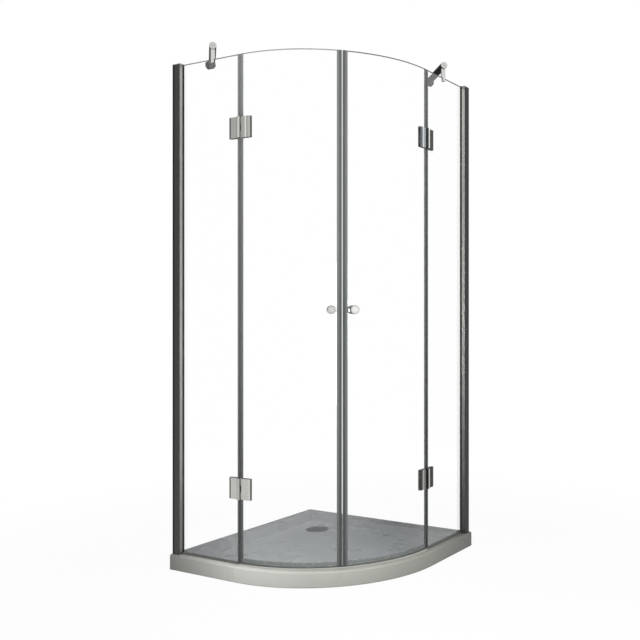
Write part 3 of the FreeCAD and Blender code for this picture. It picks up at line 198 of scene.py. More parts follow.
class Graph:
    """The node tree of one material or of the world."""

    def __init__(self, tree: bpy.types.NodeTree) -> None:
        """Take over a tree and empty it."""
        self.tree = tree
        tree.nodes.clear()

    def node(
        self,
        kind: str,
        settings: dict[str, object] | None = None,
        sockets: dict[str | int, object] | None = None,
        out: str | int = 0,
    ) -> Socket:
        """Add a node.

        Args:
            kind: The node's type.
            settings: The node's own settings, and a ramp's stops under "stops"; they are set first.
            sockets: A value or a link for each input that isn't at its default.
            out: The output that is returned.

        Returns:
            The output, or the first input of a node that has no output.
        """
        added = self.tree.nodes.new(kind)
        for name, value in (settings or {}).items():
            if name == "stops":
                self._set_stops(added.color_ramp, value)
            else:
                setattr(added, name, value)
        for name, value in (sockets or {}).items():
            if isinstance(value, Socket):
                self.tree.links.new(value.raw, added.inputs[name])
            else:
                added.inputs[name].default_value = value
        return Socket(self, added.outputs[out] if len(added.outputs) else added.inputs[0])

    @staticmethod
    def _set_stops(ramp: bpy.types.ColorRamp, stops: list[tuple[float, Colour]]) -> None:
        """Give a ramp its stops, each a place from 0 to 1 and a colour."""
        while len(ramp.elements) < len(stops):
            ramp.elements.new(1.0)
        for element, (place, shade) in zip(ramp.elements, stops):
            element.position = place
            element.color = (*shade, 1.0)

    def math(self, operation: str, first: Socket | float, second: Socket | float) -> Socket:
        """Add a Math node on two numbers and return its result."""
        return self.node("ShaderNodeMath", {"operation": operation}, {0: first, 1: second})

    def blend(self, share: Socket | float, first: Socket | Colour, second: Socket | Colour) -> Socket:
        """Mix two colours.

        Args:
            share: How much of the second colour shows.
            first: The colour at 0.
            second: The colour at 1.

        Returns:
            The mixed colour.
        """
        pair = [tone if isinstance(tone, Socket) else (*tone, 1.0) for tone in (first, second)]
        sockets = {"Factor": share, **dict(zip(MIX_COLOURS, pair))}
        return self.node("ShaderNodeMix", {"data_type": "RGBA"}, sockets, MIX_RESULT)

    def shade(self, tone: Socket, level: Socket | float) -> Socket:
        """Return a colour made lighter or darker by a level."""
        return self.node("ShaderNodeVectorMath", {"operation": "SCALE"}, {0: tone, "Scale": level})

    def ramp(self, value: Socket, start: float, end: float, *codes: str) -> Socket:
        """Turn a value into a colour.

        Args:
            value: The value.
            start: The value of the first colour.
            end: The value of the last colour.
            codes: The display colours, evenly spaced.

        Returns:
            The colour.
        """
        stops = [(index / (len(codes) - 1), colour(code)) for index, code in enumerate(codes)]
        share = (value - start) / (end - start)
        return self.node("ShaderNodeValToRGB", {"stops": stops}, {"Fac": share}, "Color")

    def places(self, stretch: Place = (1, 1, 1)) -> Socket:
        """Return the point on the piece in metres, multiplied axis by axis."""
        point = self.node("ShaderNodeTexCoord", out="Object")
        settings = {"operation": "MULTIPLY"}
        return self.node("ShaderNodeVectorMath", settings, {0: point, 1: stretch})

    def along(self, coordinate: str, direction: Place | Vector) -> Socket:
        """Return how far the place or the normal goes along a direction.

        Args:
            coordinate: "Object" for the place in metres, or "Normal".
            direction: The direction in the shared frame.

        Returns:
            The length along it.
        """
        vector = self.node("ShaderNodeTexCoord", out=coordinate)
        settings = {"operation": "DOT_PRODUCT"}
        return self.node("ShaderNodeVectorMath", settings, {0: vector, 1: tuple(direction)}, "Value")

    def noise(self, size: float, stretch: Place = (1, 1, 1), detail: float = 3.0) -> Socket:
        """Return smooth noise from 0 to 1.

        Args:
            size: The size of its blots in metres.
            stretch: How much tighter it is along each axis.
            detail: How many finer layers it has.

        Returns:
            The noise.
        """
        sockets = {"Vector": self.places(stretch), "Scale": 1 / size, "Detail": detail}
        return self.node("ShaderNodeTexNoise", None, sockets, "Fac")

    def bump(self, height: Socket, distance: float, strength: float = 1.0) -> Socket:
        """Return the normal of a surface with this relief, distance metres deep."""
        sockets = {"Height": height, "Distance": distance, "Strength": strength}
        return self.node("ShaderNodeBump", None, sockets, "Normal")

    def seen(self) -> Socket:
        """Return 1 for what the camera, metal and glass see, and 0 for what lights surfaces."""
        path = self.node("ShaderNodeLightPath", out="Is Camera Ray")
        return path.highest(path.other("Is Glossy Ray")).highest(path.other("Is Transmission Ray"))

    def surface(self, **inputs: object) -> Socket:
        """Add the Principled shader; spaces in its socket names are underscores here."""
        sockets = {name.replace("_", " "): value for name, value in inputs.items()}
        return self.node("ShaderNodeBsdfPrincipled", None, sockets, "BSDF")

    def clear(self, tint: Colour = (1.0, 1.0, 1.0)) -> Socket:
        """Return a shader that lets light through and tints it."""
        return self.node("ShaderNodeBsdfTransparent", None, {"Color": (*tint, 1.0)})

    def glow(self, tone: Colour) -> Socket:
        """Return a shader that shows this colour in any light."""
        return self.node("ShaderNodeEmission", None, {"Color": (*tone, 1.0), "Strength": 1.0})

    def layer(self, share: Socket | float, first: Socket, second: Socket) -> Socket:
        """Return a mix of two shaders, in which share of the second shows."""
        return self.node("ShaderNodeMixShader", None, {0: share, 1: first, 2: second})

    def end(self, shader: Socket) -> None:
        """Link a shader to the output."""
        world = isinstance(self.tree.id_data, bpy.types.World)
        self.node("ShaderNodeOutputWorld" if world else "ShaderNodeOutputMaterial", None, {0: shader})


@dataclass(frozen=True)
class Finish:
    """A surface finish; each kind fills in its shader."""

    name: str

    def shader(self, graph: Graph) -> Socket:
        """Build the shader in graph and return it."""
        raise NotImplementedError

    def make(self) -> bpy.types.Material:
        """Return the material of this finish, built once."""
        found = bpy.data.materials.get(self.name)
        if found is None:
            found = bpy.data.materials.new(self.name)
            found.use_nodes = True
            graph = Graph(found.node_tree)
            graph.end(self.shader(graph))
        return found


@dataclass(frozen=True)
class TrayAcrylic(Finish):
    """Cast acrylic tray, one material: the front wall and rim outside the glass are warm with painted
    light, and the floor inside is a cooler grey painted shade.
    """

    glass_insets: Range = (0.033, 0.031)
    rounding_depths: Range = (0.008, 0.008 / 3)
    foot_height: float = 0.0045
    # painted light on the front wall: tones falling off from a pale patch left of the middle to dark
    # ends, lighter towards the rim, a painted highlight on the rounded lip, a painted shadow line at
    # the foot and a paler rim
    painted_apron: tuple[str, ...] = ("8A8B86", "DADAD4", "B4B5AE", "A6A7A0", "96978F", "6A6B66")
    apron_level: float = 0.93
    apron_light_rise: float = 0.09
    lip_highlight_gain: float = 0.2
    foot_shadow_loss: float = 0.42
    rim_turn: Range = (0.85, 0.97)
    rim_light_gain: float = 0.1
    # painted shade inside the glass: grey tones darker towards both ends, darker ledge and slopes, a
    # painted shadow line along the two walls and a paler painted patch of light in the back corner
    painted_basin: tuple[str, ...] = ("66666C", "ACB0B2", "A6ABAD", "7E8386", "646769")
    basin_half: float = 0.6
    ledge_depths: Range = (0.006, 0.002)
    ledge_reach: Range = (0.1, 0.4)
    ledge_shade_loss: float = 0.45
    slope_turn: Range = (0.8, 0.95)
    slope_shade_loss: float = 0.4
    back_line: Range = (0.007, 0.011)
    wall_shadow_line: str = "77797C"
    corner_reach: Range = (0.1, 0.6)
    corner_share: float = 0.6
    corner_light_patch: str = "B4B6BA"
    cloud_size: float = 0.16
    cloud_level: float = 1.02
    cloud_loss: float = 0.05
    ripple_size: float = 0.05
    ripple_share: float = 0.3
    ripple_depth: float = 0.0006
    ripple_strength: float = 0.1
    roughness: Range = (0.24, 0.32)
    reflection: float = 0.4

    def _near_rim(self, height: Socket, depths: Range) -> Socket:
        """Return a soft step that rises between two depths below the rim."""
        return height.above(*(RIM_LEVEL - depth for depth in depths))

    def _apron(self, graph: Graph, across: Socket, height: Socket, facing: Socket) -> Socket:
        """Colour the tray outside the glass with painted light: a painted highlight on the lip, a
        painted shadow line at the foot and a pale painted-light rim.

        Args:
            graph: The material's node tree.
            across: How far a point lies towards the right along the tray's front.
            height: Its height.
            facing: How far it faces up.

        Returns:
            The colour.
        """
        half = HALF_SIDE * math.sqrt(2)
        # painted light: the tone falls off from a pale patch left of the middle to dark ends
        tone = graph.ramp(across, -half, half, *self.painted_apron)
        # painted shadow line at the foot, painted highlight on the lip and painted light on the rim
        foot = 1 - height.above(0.0, self.foot_height)
        rounding = self._near_rim(height, self.rounding_depths)
        level = self.apron_level + self.apron_light_rise * height.above(self.foot_height, RIM_LEVEL)
        level = level + self.lip_highlight_gain * rounding - self.foot_shadow_loss * foot
        return graph.shade(tone, level + self.rim_light_gain * facing.above(*self.rim_turn))

    def _basin(self, graph: Graph, x: Socket, y: Socket, across: Socket) -> Socket:
        """Colour the tray inside the glass as painted shade: grey, darker on the ledge and slopes,
        with a painted shadow line along the two walls and a paler painted patch of light in the back
        corner.

        Args:
            graph: The material's node tree.
            x: How far a point lies along the frame's X.
            y: How far it lies along the frame's Y.
            across: How far it lies towards the right along the tray's front.

        Returns:
            The colour.
        """
        # painted shade: grey tones, darker towards both ends and on the ledge
        tone = graph.ramp(across, -self.basin_half, self.basin_half, *self.painted_basin)
        ledge = self._near_rim(graph.along("Object", UP), self.ledge_depths)
        tone = graph.shade(tone, 1 - self.ledge_shade_loss * (ledge * across.above(*self.ledge_reach)))
        from_left, from_back = x + HALF_SIDE, HALF_SIDE - y
        # paler painted patch of light in the back corner
        corner = 1 - (from_left + from_back).above(*self.corner_reach)
        tone = graph.blend(corner * self.corner_share, tone, colour(self.corner_light_patch))
        # painted shadow line along the two walls
        line = 1 - from_left.lowest(from_back).above(*self.back_line)
        # painted shade on the slopes
        slope = 1 - graph.along("Normal", UP).above(*self.slope_turn)
        tone = graph.shade(tone, 1 - self.slope_shade_loss * slope)
        return graph.blend(line, tone, colour(self.wall_shadow_line))

    def shader(self, graph: Graph) -> Socket:
        """Build the tray's shader.

        Args:
            graph: The material's node tree.

        Returns:
            The shader.
        """
        x, y = graph.along("Object", (1, 0, 0)), graph.along("Object", (0, 1, 0))
        across = (x + y) / math.sqrt(2)
        right, front = (x - ARC_CENTRE.x).highest(0.0), (ARC_CENTRE.y - y).highest(0.0)
        from_centre = (right * right + front * front) ** 0.5
        # the tray is one material: outside the glass it takes the painted light, inside the painted
        # shade
        outside = from_centre.above(*(CORNER_RADIUS - inset for inset in self.glass_insets))
        painted_apron = self._apron(graph, across, graph.along("Object", UP), graph.along("Normal", UP))
        base = graph.blend(outside, self._basin(graph, x, y, across), painted_apron)
        clouds = graph.noise(self.cloud_size, detail=4.0)
        ripple = graph.noise(self.ripple_size, detail=1.0)
        relief = clouds + self.ripple_share * ripple
        return graph.surface(
            Base_Color=graph.shade(base, self.cloud_level - self.cloud_loss * clouds),
            Roughness=clouds.between(*self.roughness),
            Normal=graph.bump(relief, self.ripple_depth, self.ripple_strength),
            Specular_IOR_Level=self.reflection,
        )


@dataclass(frozen=True)
class Metal(Finish):
    """Metal with a brushed or polished surface and faint stains."""

    tone: str
    shade: str
    roughness: float
    spread: float = 0.1
    grain_size: float = 0.0009
    grain_stretch: Place = (1, 1, 0.03)
    relief: float = 0.00002
    stain_size: float = 0.05
    grain_share: float = 0.6

    def grain(self, graph: Graph) -> Socket:
        """Return the metal's grain from 0 to 1."""
        return graph.noise(self.grain_size, self.grain_stretch, 2.0)

    def rough(self, wear: Socket) -> Socket:
        """Return the roughness, which wear spreads around its middle."""
        return (self.roughness - self.spread / 2) + self.spread * wear

    def finished(self, graph: Graph, base: Socket, rough: Socket, grain: Socket) -> Socket:
        """Return the shader of a metal with this colour, roughness and grain."""
        relief = graph.bump(grain, self.relief)
        return graph.surface(Base_Color=base, Metallic=1.0, Roughness=rough, Normal=relief)

    def shader(self, graph: Graph) -> Socket:
        """Build the metal's shader.

        Args:
            graph: The material's node tree.

        Returns:
            The shader.
        """
        grain = self.grain(graph)
        stains = graph.noise(self.stain_size)
        wear = self.grain_share * grain + (1 - self.grain_share) * stains
        base = graph.blend(wear, colour(self.shade), colour(self.tone))
        return self.finished(graph, base, self.rough(wear), grain)


@dataclass(frozen=True, kw_only=True)
class ProfileMetal(Metal):
    """Wall profile: satin lips, lighter towards the top as painted light, and an outer face painted
    dark as a painted reflection, with a painted shadow in the groove beside the wall.
    """

    roughness: float = 0.3
    spread: float = 0.12
    stain_size: float = 0.08
    grain_share: float = 0.5
    outward: Place
    inward: Place
    face_turn: Range = (0.6, 0.9)
    face_roughness: float = 0.08
    # painted light: the lips lighter towards the top
    painted_light_levels: Range = (1.0, 1.15)
    # painted reflection: the dark tone of the outer face
    dark: str = "454543"
    dark_gain: float = 1.25
    # painted shadow in the groove beside the wall
    wall_groove_shadow: str = "2E2E2D"
    groove_from_wall: float = 0.013
    groove_soft: float = 0.0006

    def shader(self, graph: Graph) -> Socket:
        """Build the profile's shader.

        Args:
            graph: The material's node tree.

        Returns:
            The shader.
        """
        face = graph.along("Normal", self.outward).above(*self.face_turn)
        grain = self.grain(graph)
        stains = graph.noise(self.stain_size)
        # painted light: the lips lighter towards the top
        level = graph.along("Object", UP).above(*TONE_HEIGHTS).between(*self.painted_light_levels)
        light = graph.shade(graph.blend(grain, colour(self.shade), colour(self.tone)), level)
        wear = self.grain_share * grain + (1 - self.grain_share) * stains
        # painted reflection: the outer face dark
        deep = graph.blend(wear, colour(self.dark), lighter(colour(self.dark), self.dark_gain))
        from_wall = graph.along("Object", self.inward) + HALF_SIDE
        # painted shadow in the groove beside the wall
        wall_groove_shadow_mask = 1 - from_wall.past(self.groove_from_wall, self.groove_soft)
        deep = graph.blend(wall_groove_shadow_mask, deep, colour(self.wall_groove_shadow))
        rough = self.rough(grain) + self.face_roughness * face
        return self.finished(graph, graph.blend(face, light, deep), rough, grain)


@dataclass(frozen=True, kw_only=True)
class TurnedMetal(Metal):
    """Polished turned metal with painted reflection: a bright end face, a grey chamfer ring and
    darker sides, chosen by which way the surface faces.
    """

    roughness: float = 0.105
    spread: float = 0.05
    grain_loss: float = 0.08
    axis: Place = (0.707, -0.707, 0)
    ring: str = "9A9A98"
    side: str
    end_turn: Range = (0.9, 0.97)
    ring_turn: Range = (0.2, 0.5)
    middle: float = 0.0
    neck: float = 0.016
    neck_soft: float = 0.002

    def shader(self, graph: Graph) -> Socket:
        """Build the metal's shader.

        Args:
            graph: The material's node tree.

        Returns:
            The shader.
        """
        axis = Vector(self.axis).normalized()
        facing = graph.along("Normal", axis).size()
        at_end = (graph.along("Object", axis) - self.middle).size().past(self.neck, self.neck_soft)
        grain = self.grain(graph)
        end = graph.blend(grain, colour(self.shade), colour(self.tone))
        # painted reflection: a bright end face, a grey ring and darker sides, chosen by which way the
        # surface faces
        turned = graph.blend(facing.above(*self.ring_turn), colour(self.side), colour(self.ring))
        base = graph.blend(facing.above(*self.end_turn) * at_end, turned, end)
        base = graph.shade(base, (1 + self.grain_loss / 2) - self.grain_loss * grain)
        return self.finished(graph, base, self.rough(grain), grain)


@dataclass(frozen=True, kw_only=True)
class HingeMetal(Metal):
    """Satin hinge plate with painted light: a pale painted highlight stripe, bevels and edges painted
    dark as painted reflection, and a rounded barrel, lit on one side and shaded on the other, in a
    painted shadow line.

    Its shade is the tone of the painted shadow line beside the barrel and of the barrel's shaded far
    side.
    """

    roughness: float = 0.27
    grain_loss: float = 0.14
    outward: Place
    along_plate: Place
    face_turn: Range = (0.96, 0.985)
    # painted reflection: the bevel tone, and the dark edge tone of faces that turn further from the
    # outward face
    bevel: str
    bevel_turn: Range = (0.78, 0.92)
    edge: str = "4A4A48"
    # painted highlight: a pale stripe down the middle of the leaf
    highlight_band: str
    band_from_pivot: float = 0.0312
    band_half: float = 0.0028
    band_soft: float = 0.00056
    # painted light: the barrel's lit side; its shaded side takes the shade tone
    barrel: str
    barrel_turn: Range
    pivot: float
    barrel_half: float = 0.0078
    barrel_soft: float = 0.0002
    # painted shadow line beside the barrel
    seam_half: float = 0.0115
    seam_soft: float = 0.0005

    def shader(self, graph: Graph) -> Socket:
        """Build the plate's shader.

        Args:
            graph: The material's node tree.

        Returns:
            The shader.
        """
        facing = graph.along("Normal", self.outward)
        grain = self.grain(graph)
        place = graph.along("Object", self.along_plate) - self.pivot
        from_pivot = place.size()
        # painted highlight stripe down the middle of the leaf
        highlight_band = 1 - (place - self.band_from_pivot).size().past(self.band_half, self.band_soft)
        face = graph.blend(highlight_band, colour(self.tone), colour(self.highlight_band))
        # painted shadow line beside the barrel
        seam_shadow = 1 - from_pivot.past(self.seam_half, self.seam_soft)
        face = graph.blend(seam_shadow, face, colour(self.shade))
        # painted reflection: bevels and edges darker by which way they face
        plate = graph.blend(facing.above(*self.face_turn), colour(self.bevel), face)
        plate = graph.blend(facing.above(*self.bevel_turn), colour(self.edge), plate)
        # painted light: the barrel lit on one side and shaded on the other
        barrel = graph.blend(facing.above(*self.barrel_turn), colour(self.shade), colour(self.barrel))
        base = graph.blend(from_pivot.past(self.barrel_half, self.barrel_soft), barrel, plate)
        base = graph.shade(base, (1 + self.grain_loss / 2) - self.grain_loss * grain)
        return self.finished(graph, base, self.rough(grain), grain)


@dataclass(frozen=True)
class ToughenedGlass(Finish):
    """Clear toughened glass with ground top and bottom edges, the top one a thin darker line."""

    edge: str
    edge_share: float
    edge_gain: float = 1.25
    edge_roughness: Range = (0.15, 0.25)
    ground_turn: Range = (0.6, 0.9)
    top_depths: Range = (0.0045, 0.0027)
    tint: Colour = (0.998, 1.0, 0.999)
    shadow_tint: Colour = (0.97, 0.98, 0.975)
    smear_size: float = 0.12
    smear_roughness: float = 0.008
    index: float = 1.5
    reflection: float = 0.06

    def shader(self, graph: Graph) -> Socket:
        """Build the glass shader, which lets lamp light through.

        Args:
            graph: The material's node tree.

        Returns:
            The shader.
        """
        ground = graph.along("Normal", UP).size().above(*self.ground_turn)
        near_top = graph.along("Object", UP).above(*(GLASS_TOP - depth for depth in self.top_depths))
        smear = graph.noise(self.smear_size)
        sheet = graph.surface(
            Base_Color=(*self.tint, 1.0),
            Roughness=self.smear_roughness * smear,
            IOR=self.index,
            Specular_IOR_Level=self.reflection,
            Transmission_Weight=1.0,
        )
        tone = colour(self.edge)
        edge = graph.surface(
            Base_Color=graph.blend(smear, tone, lighter(tone, self.edge_gain)),
            Roughness=smear.between(*self.edge_roughness),
        )
        solid = graph.layer(ground.highest(near_top) * self.edge_share, sheet, edge)
        lamp = graph.node("ShaderNodeLightPath", out="Is Shadow Ray")
        return graph.layer(lamp, solid, graph.clear(self.shadow_tint))


@dataclass(frozen=True)
class SealVinyl(Finish):
    """Soft clear vinyl seal, a grey translucent strip, with painted light that makes it darker
    towards the floor and lighter towards the top.
    """

    # painted light: colours from the floor to the top, lighter upwards
    painted_light_tones: tuple[str, ...] = ("626664", "6E7270", "8A8E8C", "9EA2A0", "D0D4D2")
    clear_share: float = 0.3
    clear_tint: Colour = (0.78, 0.8, 0.79)
    flow_size: float = 0.004
    flow_stretch: Place = (1, 1, 0.05)
    flow_depth: float = 0.0002
    flow_strength: float = 0.6
    cloud_size: float = 0.05
    loss: float = 0.12
    roughness: Range = (0.28, 0.44)
    index: float = 1.5

    def base(self, graph: Graph) -> Socket:
        """Return the strip's colour, lighter towards the top as painted light."""
        return graph.ramp(graph.along("Object", UP), *TONE_HEIGHTS, *self.painted_light_tones)

    def shader(self, graph: Graph) -> Socket:
        """Build the vinyl's shader.

        Args:
            graph: The material's node tree.

        Returns:
            The shader.
        """
        flow = graph.noise(self.flow_size, self.flow_stretch, 2.0)
        clouds = graph.noise(self.cloud_size, detail=2.0)
        body = graph.surface(
            Base_Color=graph.shade(self.base(graph), 1.0 - self.loss * flow - self.loss * clouds),
            Roughness=flow.between(*self.roughness),
            Normal=graph.bump(flow, self.flow_depth, self.flow_strength),
            IOR=self.index,
        )
        return graph.layer(self.clear_share, body, graph.clear(self.clear_tint))


@dataclass(frozen=True, kw_only=True)
class MeetingSeal(SealVinyl):
    """The doors' meeting seal: a dark nose around the magnet and a paler leg, both lighter towards
    the top as painted light, and a pale tip face that is a painted highlight.
    """

    painted_light_tones: tuple[str, ...] = ("646666", "787C7A", "B0B4B2")
    clear_share: float = 0.08
    # painted light: the nose colours from the floor to the top, lighter upwards
    nose: tuple[str, ...] = ("3E4241", "525654", "828685")
    nose_length: float = 0.0119
    nose_soft: float = 0.0003
    tip: Place
    tip_turn: Range = (0.7, 0.9)
    # painted highlight on the tip face
    tip_highlight: str = "E2E6E4"

    def base(self, graph: Graph) -> Socket:
        """Colour the strip: nose, leg and tip face, the tip face a painted highlight.

        Args:
            graph: The material's node tree.

        Returns:
            The colour.
        """
        nose = graph.ramp(graph.along("Object", UP), *TONE_HEIGHTS, *self.nose)
        leg = super().base(graph)
        from_meeting = graph.along("Object", Vector((1, 1, 0)).normalized()).size()
        past_nose = from_meeting.past(self.nose_length, self.nose_soft)
        # painted highlight on the tip face
        at_tip = graph.along("Normal", self.tip).above(*self.tip_turn)
        return graph.blend(at_tip, graph.blend(past_nose, nose, leg), colour(self.tip_highlight))


@dataclass(frozen=True)
class Moulded(Finish):
    """Moulded rubber or plastic with a fine grain."""

    tone: str
    shade: str
    roughness: float
    spread: float = 0.12
    grain_size: float = 0.0012
    grain_share: float = 0.4
    cloud_size: float = 0.02
    relief: float = 0.00005

    def shader(self, graph: Graph) -> Socket:
        """Build the moulding's shader.

        Args:
            graph: The material's node tree.

        Returns:
            The shader.
        """
        grain = graph.noise(self.grain_size, detail=2.0)
        clouds = graph.noise(self.cloud_size)
        wear = self.grain_share * grain + (1 - self.grain_share) * clouds
        return graph.surface(
            Base_Color=graph.blend(wear, colour(self.shade), colour(self.tone)),
            Roughness=(self.roughness - self.spread / 2) + self.spread * clouds,
            Normal=graph.bump(grain, self.relief),
        )


@dataclass(frozen=True)
class FloorPaper(Finish):
    """White paper that keeps the object's shadow near it and is plain white further off."""

    seen_share: float = 0.95
    far: Range = (0.9, 2.2)
    tone: Colour = (0.92, 0.92, 0.92)

    def shader(self, graph: Graph) -> Socket:
        """Build the paper's shader.

        Args:
            graph: The material's node tree.

        Returns:
            The shader.
        """
        settings = {"operation": "LENGTH"}
        distance = graph.node("ShaderNodeVectorMath", settings, {0: graph.places()}, "Value")
        far = distance.above(*self.far)
        share = graph.seen() * (self.seen_share + (1 - self.seen_share) * far)
        paper = graph.node("ShaderNodeBsdfDiffuse", None, {"Color": (*self.tone, 1.0)})
        return graph.layer(share, paper, graph.glow((1.0, 1.0, 1.0)))


@dataclass(frozen=True)
class FlagCard(Finish):
    """Dark card that is there for reflections and see-through for everything else."""

    tone: Colour = (0.1, 0.1, 0.1)
    mirrored: Range = (0.4, 0.6)

    def shader(self, graph: Graph) -> Socket:
        """Return the card's shader."""
        bounces = graph.node("ShaderNodeLightPath", out="Glossy Depth")
        return graph.layer(bounces.above(*self.mirrored), graph.clear(), graph.glow(self.tone))


POLISHED_RELIEF = 0.000004
# painted light: the right knobs are a lighter copy of the same chrome
KNOB_TONES = {Side.LEFT: ("DCDCDA", "D0D0CE"), Side.RIGHT: ("F6F6F4", "ECECEA")}
# each bar's tone, grain shade and side tone; the right bar's sides are a dark painted reflection
BAR_TONES = {Side.LEFT: ("CCCCCA", "BEBEBC", "D2D2D0"), Side.RIGHT: ("D0D0CE", "C2C2C0", "505050")}
LEAF_TONES = {  # painted light and reflection: the face, bevel and highlight stripe of each leaf, paler on the side that faces the light
    (Leaf.FRAME, Side.LEFT, Level.UPPER): ("A6A7A2", "3A3A38", "A6A7A2"),
    (Leaf.FRAME, Side.LEFT, Level.LOWER): ("BEBFBA", "343432", "BEBFBA"),
    (Leaf.FRAME, Side.RIGHT, Level.UPPER): ("464646", "5A5A5A", "464646"),
    (Leaf.FRAME, Side.RIGHT, Level.LOWER): ("343434", "343434", "343434"),
    (Leaf.DOOR, Side.LEFT, Level.UPPER): ("A6A7A2", "B4B5B0", "E2E3DF"),
    (Leaf.DOOR, Side.LEFT, Level.LOWER): ("BEBFBA", "C6C7C2", "BEBFBA"),
    (Leaf.DOOR, Side.RIGHT, Level.UPPER): ("A0A4A7", "64686B", "EAEEF0"),
    (Leaf.DOOR, Side.RIGHT, Level.LOWER): ("757774", "40423F", "B8BAB7"),
}
BARREL_TONES = {  # the lit and the shaded side of each hinge barrel
    (Side.LEFT, Level.UPPER): ("C8C9C4", "858681"),
    (Side.LEFT, Level.LOWER): ("B4B5B0", "666762"),
    (Side.RIGHT, Level.UPPER): ("F4F5F4", "464847"),
    (Side.RIGHT, Level.LOWER): ("C4C6C3", "30322F"),
}
BARREL_TURNS = {Side.LEFT: (0.25, 0.6), Side.RIGHT: (0.72, 0.88)}

ACRYLIC = TrayAcrylic("tray_acrylic_cast")
# the edge tone is the glass's own edge; the right pane's, darker and stronger, is painted shade
PANE_GLASS = {
    Side.LEFT: ToughenedGlass("toughened_glass_fixed_left", "7E8280", 0.65),
    Side.RIGHT: ToughenedGlass("toughened_glass_fixed_right", "343836", 0.95),
}
# the edge tone is the glass's own edge; the right door's, darker and stronger, is painted shade
DOOR_GLASS = {
    Side.LEFT: ToughenedGlass("toughened_glass_door_left", "7C8280", 0.45),
    Side.RIGHT: ToughenedGlass("toughened_glass_door_right", "565C5A", 0.7),
}
# painted light and shade: the right profile is a darker copy, lighter towards the top
PROFILE_METAL = {
    Side.LEFT: ProfileMetal(
        name="profile_metal_left",
        tone="ACACA8",
        shade="9A9A97",
        outward=Side.LEFT.outward,
        inward=Side.LEFT.inward,
    ),
    Side.RIGHT: ProfileMetal(
        name="profile_metal_right",
        tone="A4A4A0",
        shade="929290",
        outward=Side.RIGHT.outward,
        inward=Side.RIGHT.inward,
        painted_light_levels=(0.4, 1.5),
        dark="292929",
        wall_groove_shadow="1E1E1D",
    ),
}
ALUMINIUM = Metal("aluminium_satin", "B4B4B0", "A0A09C", 0.3)
THRESHOLD = Metal("aluminium_threshold", "D2D2CE", "C0C0BC", 0.3)
# painted shade: a darker copy of nickel for the hinge clamps
NICKEL_DARK = Metal("nickel_shaded", "6A6B67", "565753", 0.3, grain_stretch=(0.04, 0.04, 1))
# painted shade: a darker copy of the polished chrome, for the support flanges
CHROME_PAINTED_SHADE = Metal("chrome_painted_shade", "4C4C4B", "3E3E3D", 0.16, 0.05, relief=POLISHED_RELIEF)
CHROME = Metal("chrome_polished", "DADAD8", "C6C6C4", 0.09, 0.05, relief=POLISHED_RELIEF)
STEEL = Metal("steel_bright", "A8A8A6", "8C8C8A", 0.25)
BAR_METAL = {
    side: TurnedMetal(
        name=f"chrome_bar_{side.value}",
        tone=tone,
        shade=shade,
        ring="A0A09E",
        side=bar_side,
        relief=POLISHED_RELIEF,
    )
    for side, (tone, shade, bar_side) in BAR_TONES.items()
}
# painted shade: the right seals are a darker copy of the clear vinyl, and both are lighter towards
# the top as painted light
VINYL = {
    Side.LEFT: SealVinyl("vinyl_clear"),
    Side.RIGHT: SealVinyl("vinyl_clear_shaded", ("464A48", "4E5250", "606462", "767A78", "A0A4A2")),
}
SILL_VINYL = SealVinyl("vinyl_sill", ("AAAEAC", "B0B4B2"), 0.6)
GASKET_CLEAR = Moulded("gasket_hinge", "4A4C4B", "3A3C3B", 0.5)
GASKET_GREY = Moulded("gasket_grey", "2C2C2C", "202020", 0.45)
SILL_SEAL = Moulded("seal_grey", "747673", "636562", 0.4)
MAGNET = Moulded("magnet_dark", "2A2C2B", "1E201F", 0.4)
RUBBER = Moulded("rubber_black", "222222", "161616", 0.6)
WASTE = Moulded("waste_white", "D8D8D4", "C6C6C2", 0.4)
COVER = Moulded("cover_grey", "5A5E60", "4E5254", 0.3)


def leaf_metal(leaf: Leaf, side: Side, level: Level) -> HingeMetal:
    """Choose the finish of one outer hinge leaf.

    Args:
        leaf: Which leaf of the hinge.
        side: The hinge's side.
        level: The hinge's level.

    Returns:
        The finish.
    """
    face, bevel, highlight_band = LEAF_TONES[leaf, side, level]
    barrel, barrel_shade = BARREL_TONES[side, level]
    return HingeMetal(
        name=f"nickel_{leaf.value}_{level.value}_{side.value}",
        tone=face,
        shade=barrel_shade,
        outward=side.outward,
        along_plate=side.inward,
        pivot=PIVOTS[f"{side.value}_door_hinge"].dot(Vector(side.inward)),
        bevel=bevel,
        highlight_band=highlight_band,
        barrel=barrel,
        barrel_turn=BARREL_TURNS[side],
    )


def knob_metal(side: Side) -> TurnedMetal:
    """Choose the finish of one door's knobs, whose axis runs through the centre of the glass's arc.

    Args:
        side: The door's side.

    Returns:
        The finish.
    """
    low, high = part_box(f"door_knobs_{side.value}")
    middle = (low + high) / 2
    axis = Vector((middle.x - ARC_CENTRE.x, middle.y - ARC_CENTRE.y, 0)).normalized()
    tone, shade = KNOB_TONES[side]
    return TurnedMetal(
        name=f"chrome_knob_{side.value}",
        tone=tone,
        shade=shade,
        axis=tuple(axis),
        side="484847",
        middle=middle.dot(axis),
        relief=POLISHED_RELIEF,
    )


def dress(finish: Finish, *names: str) -> None:
    """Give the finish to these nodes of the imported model.

    Args:
        finish: The finish.
        names: The nodes' names.
    """
    for name in names:
        node = frame["nodes"][name]
        node.data.materials.clear()
        node.data.materials.append(finish.make())
        LOG.info("%s: %s", name, finish.name)


@dataclass
class Tray:
    """The shower tray with its threshold strip and waste."""

    def dress(self) -> None:
        """Give the tray's nodes their finishes."""
        dress(ACRYLIC, "shower_tray")
        dress(THRESHOLD, "threshold_strip")
        dress(WASTE, "waste_body", "waste_backnut")
        dress(RUBBER, "waste_seal")
        dress(COVER, "drain_cover")


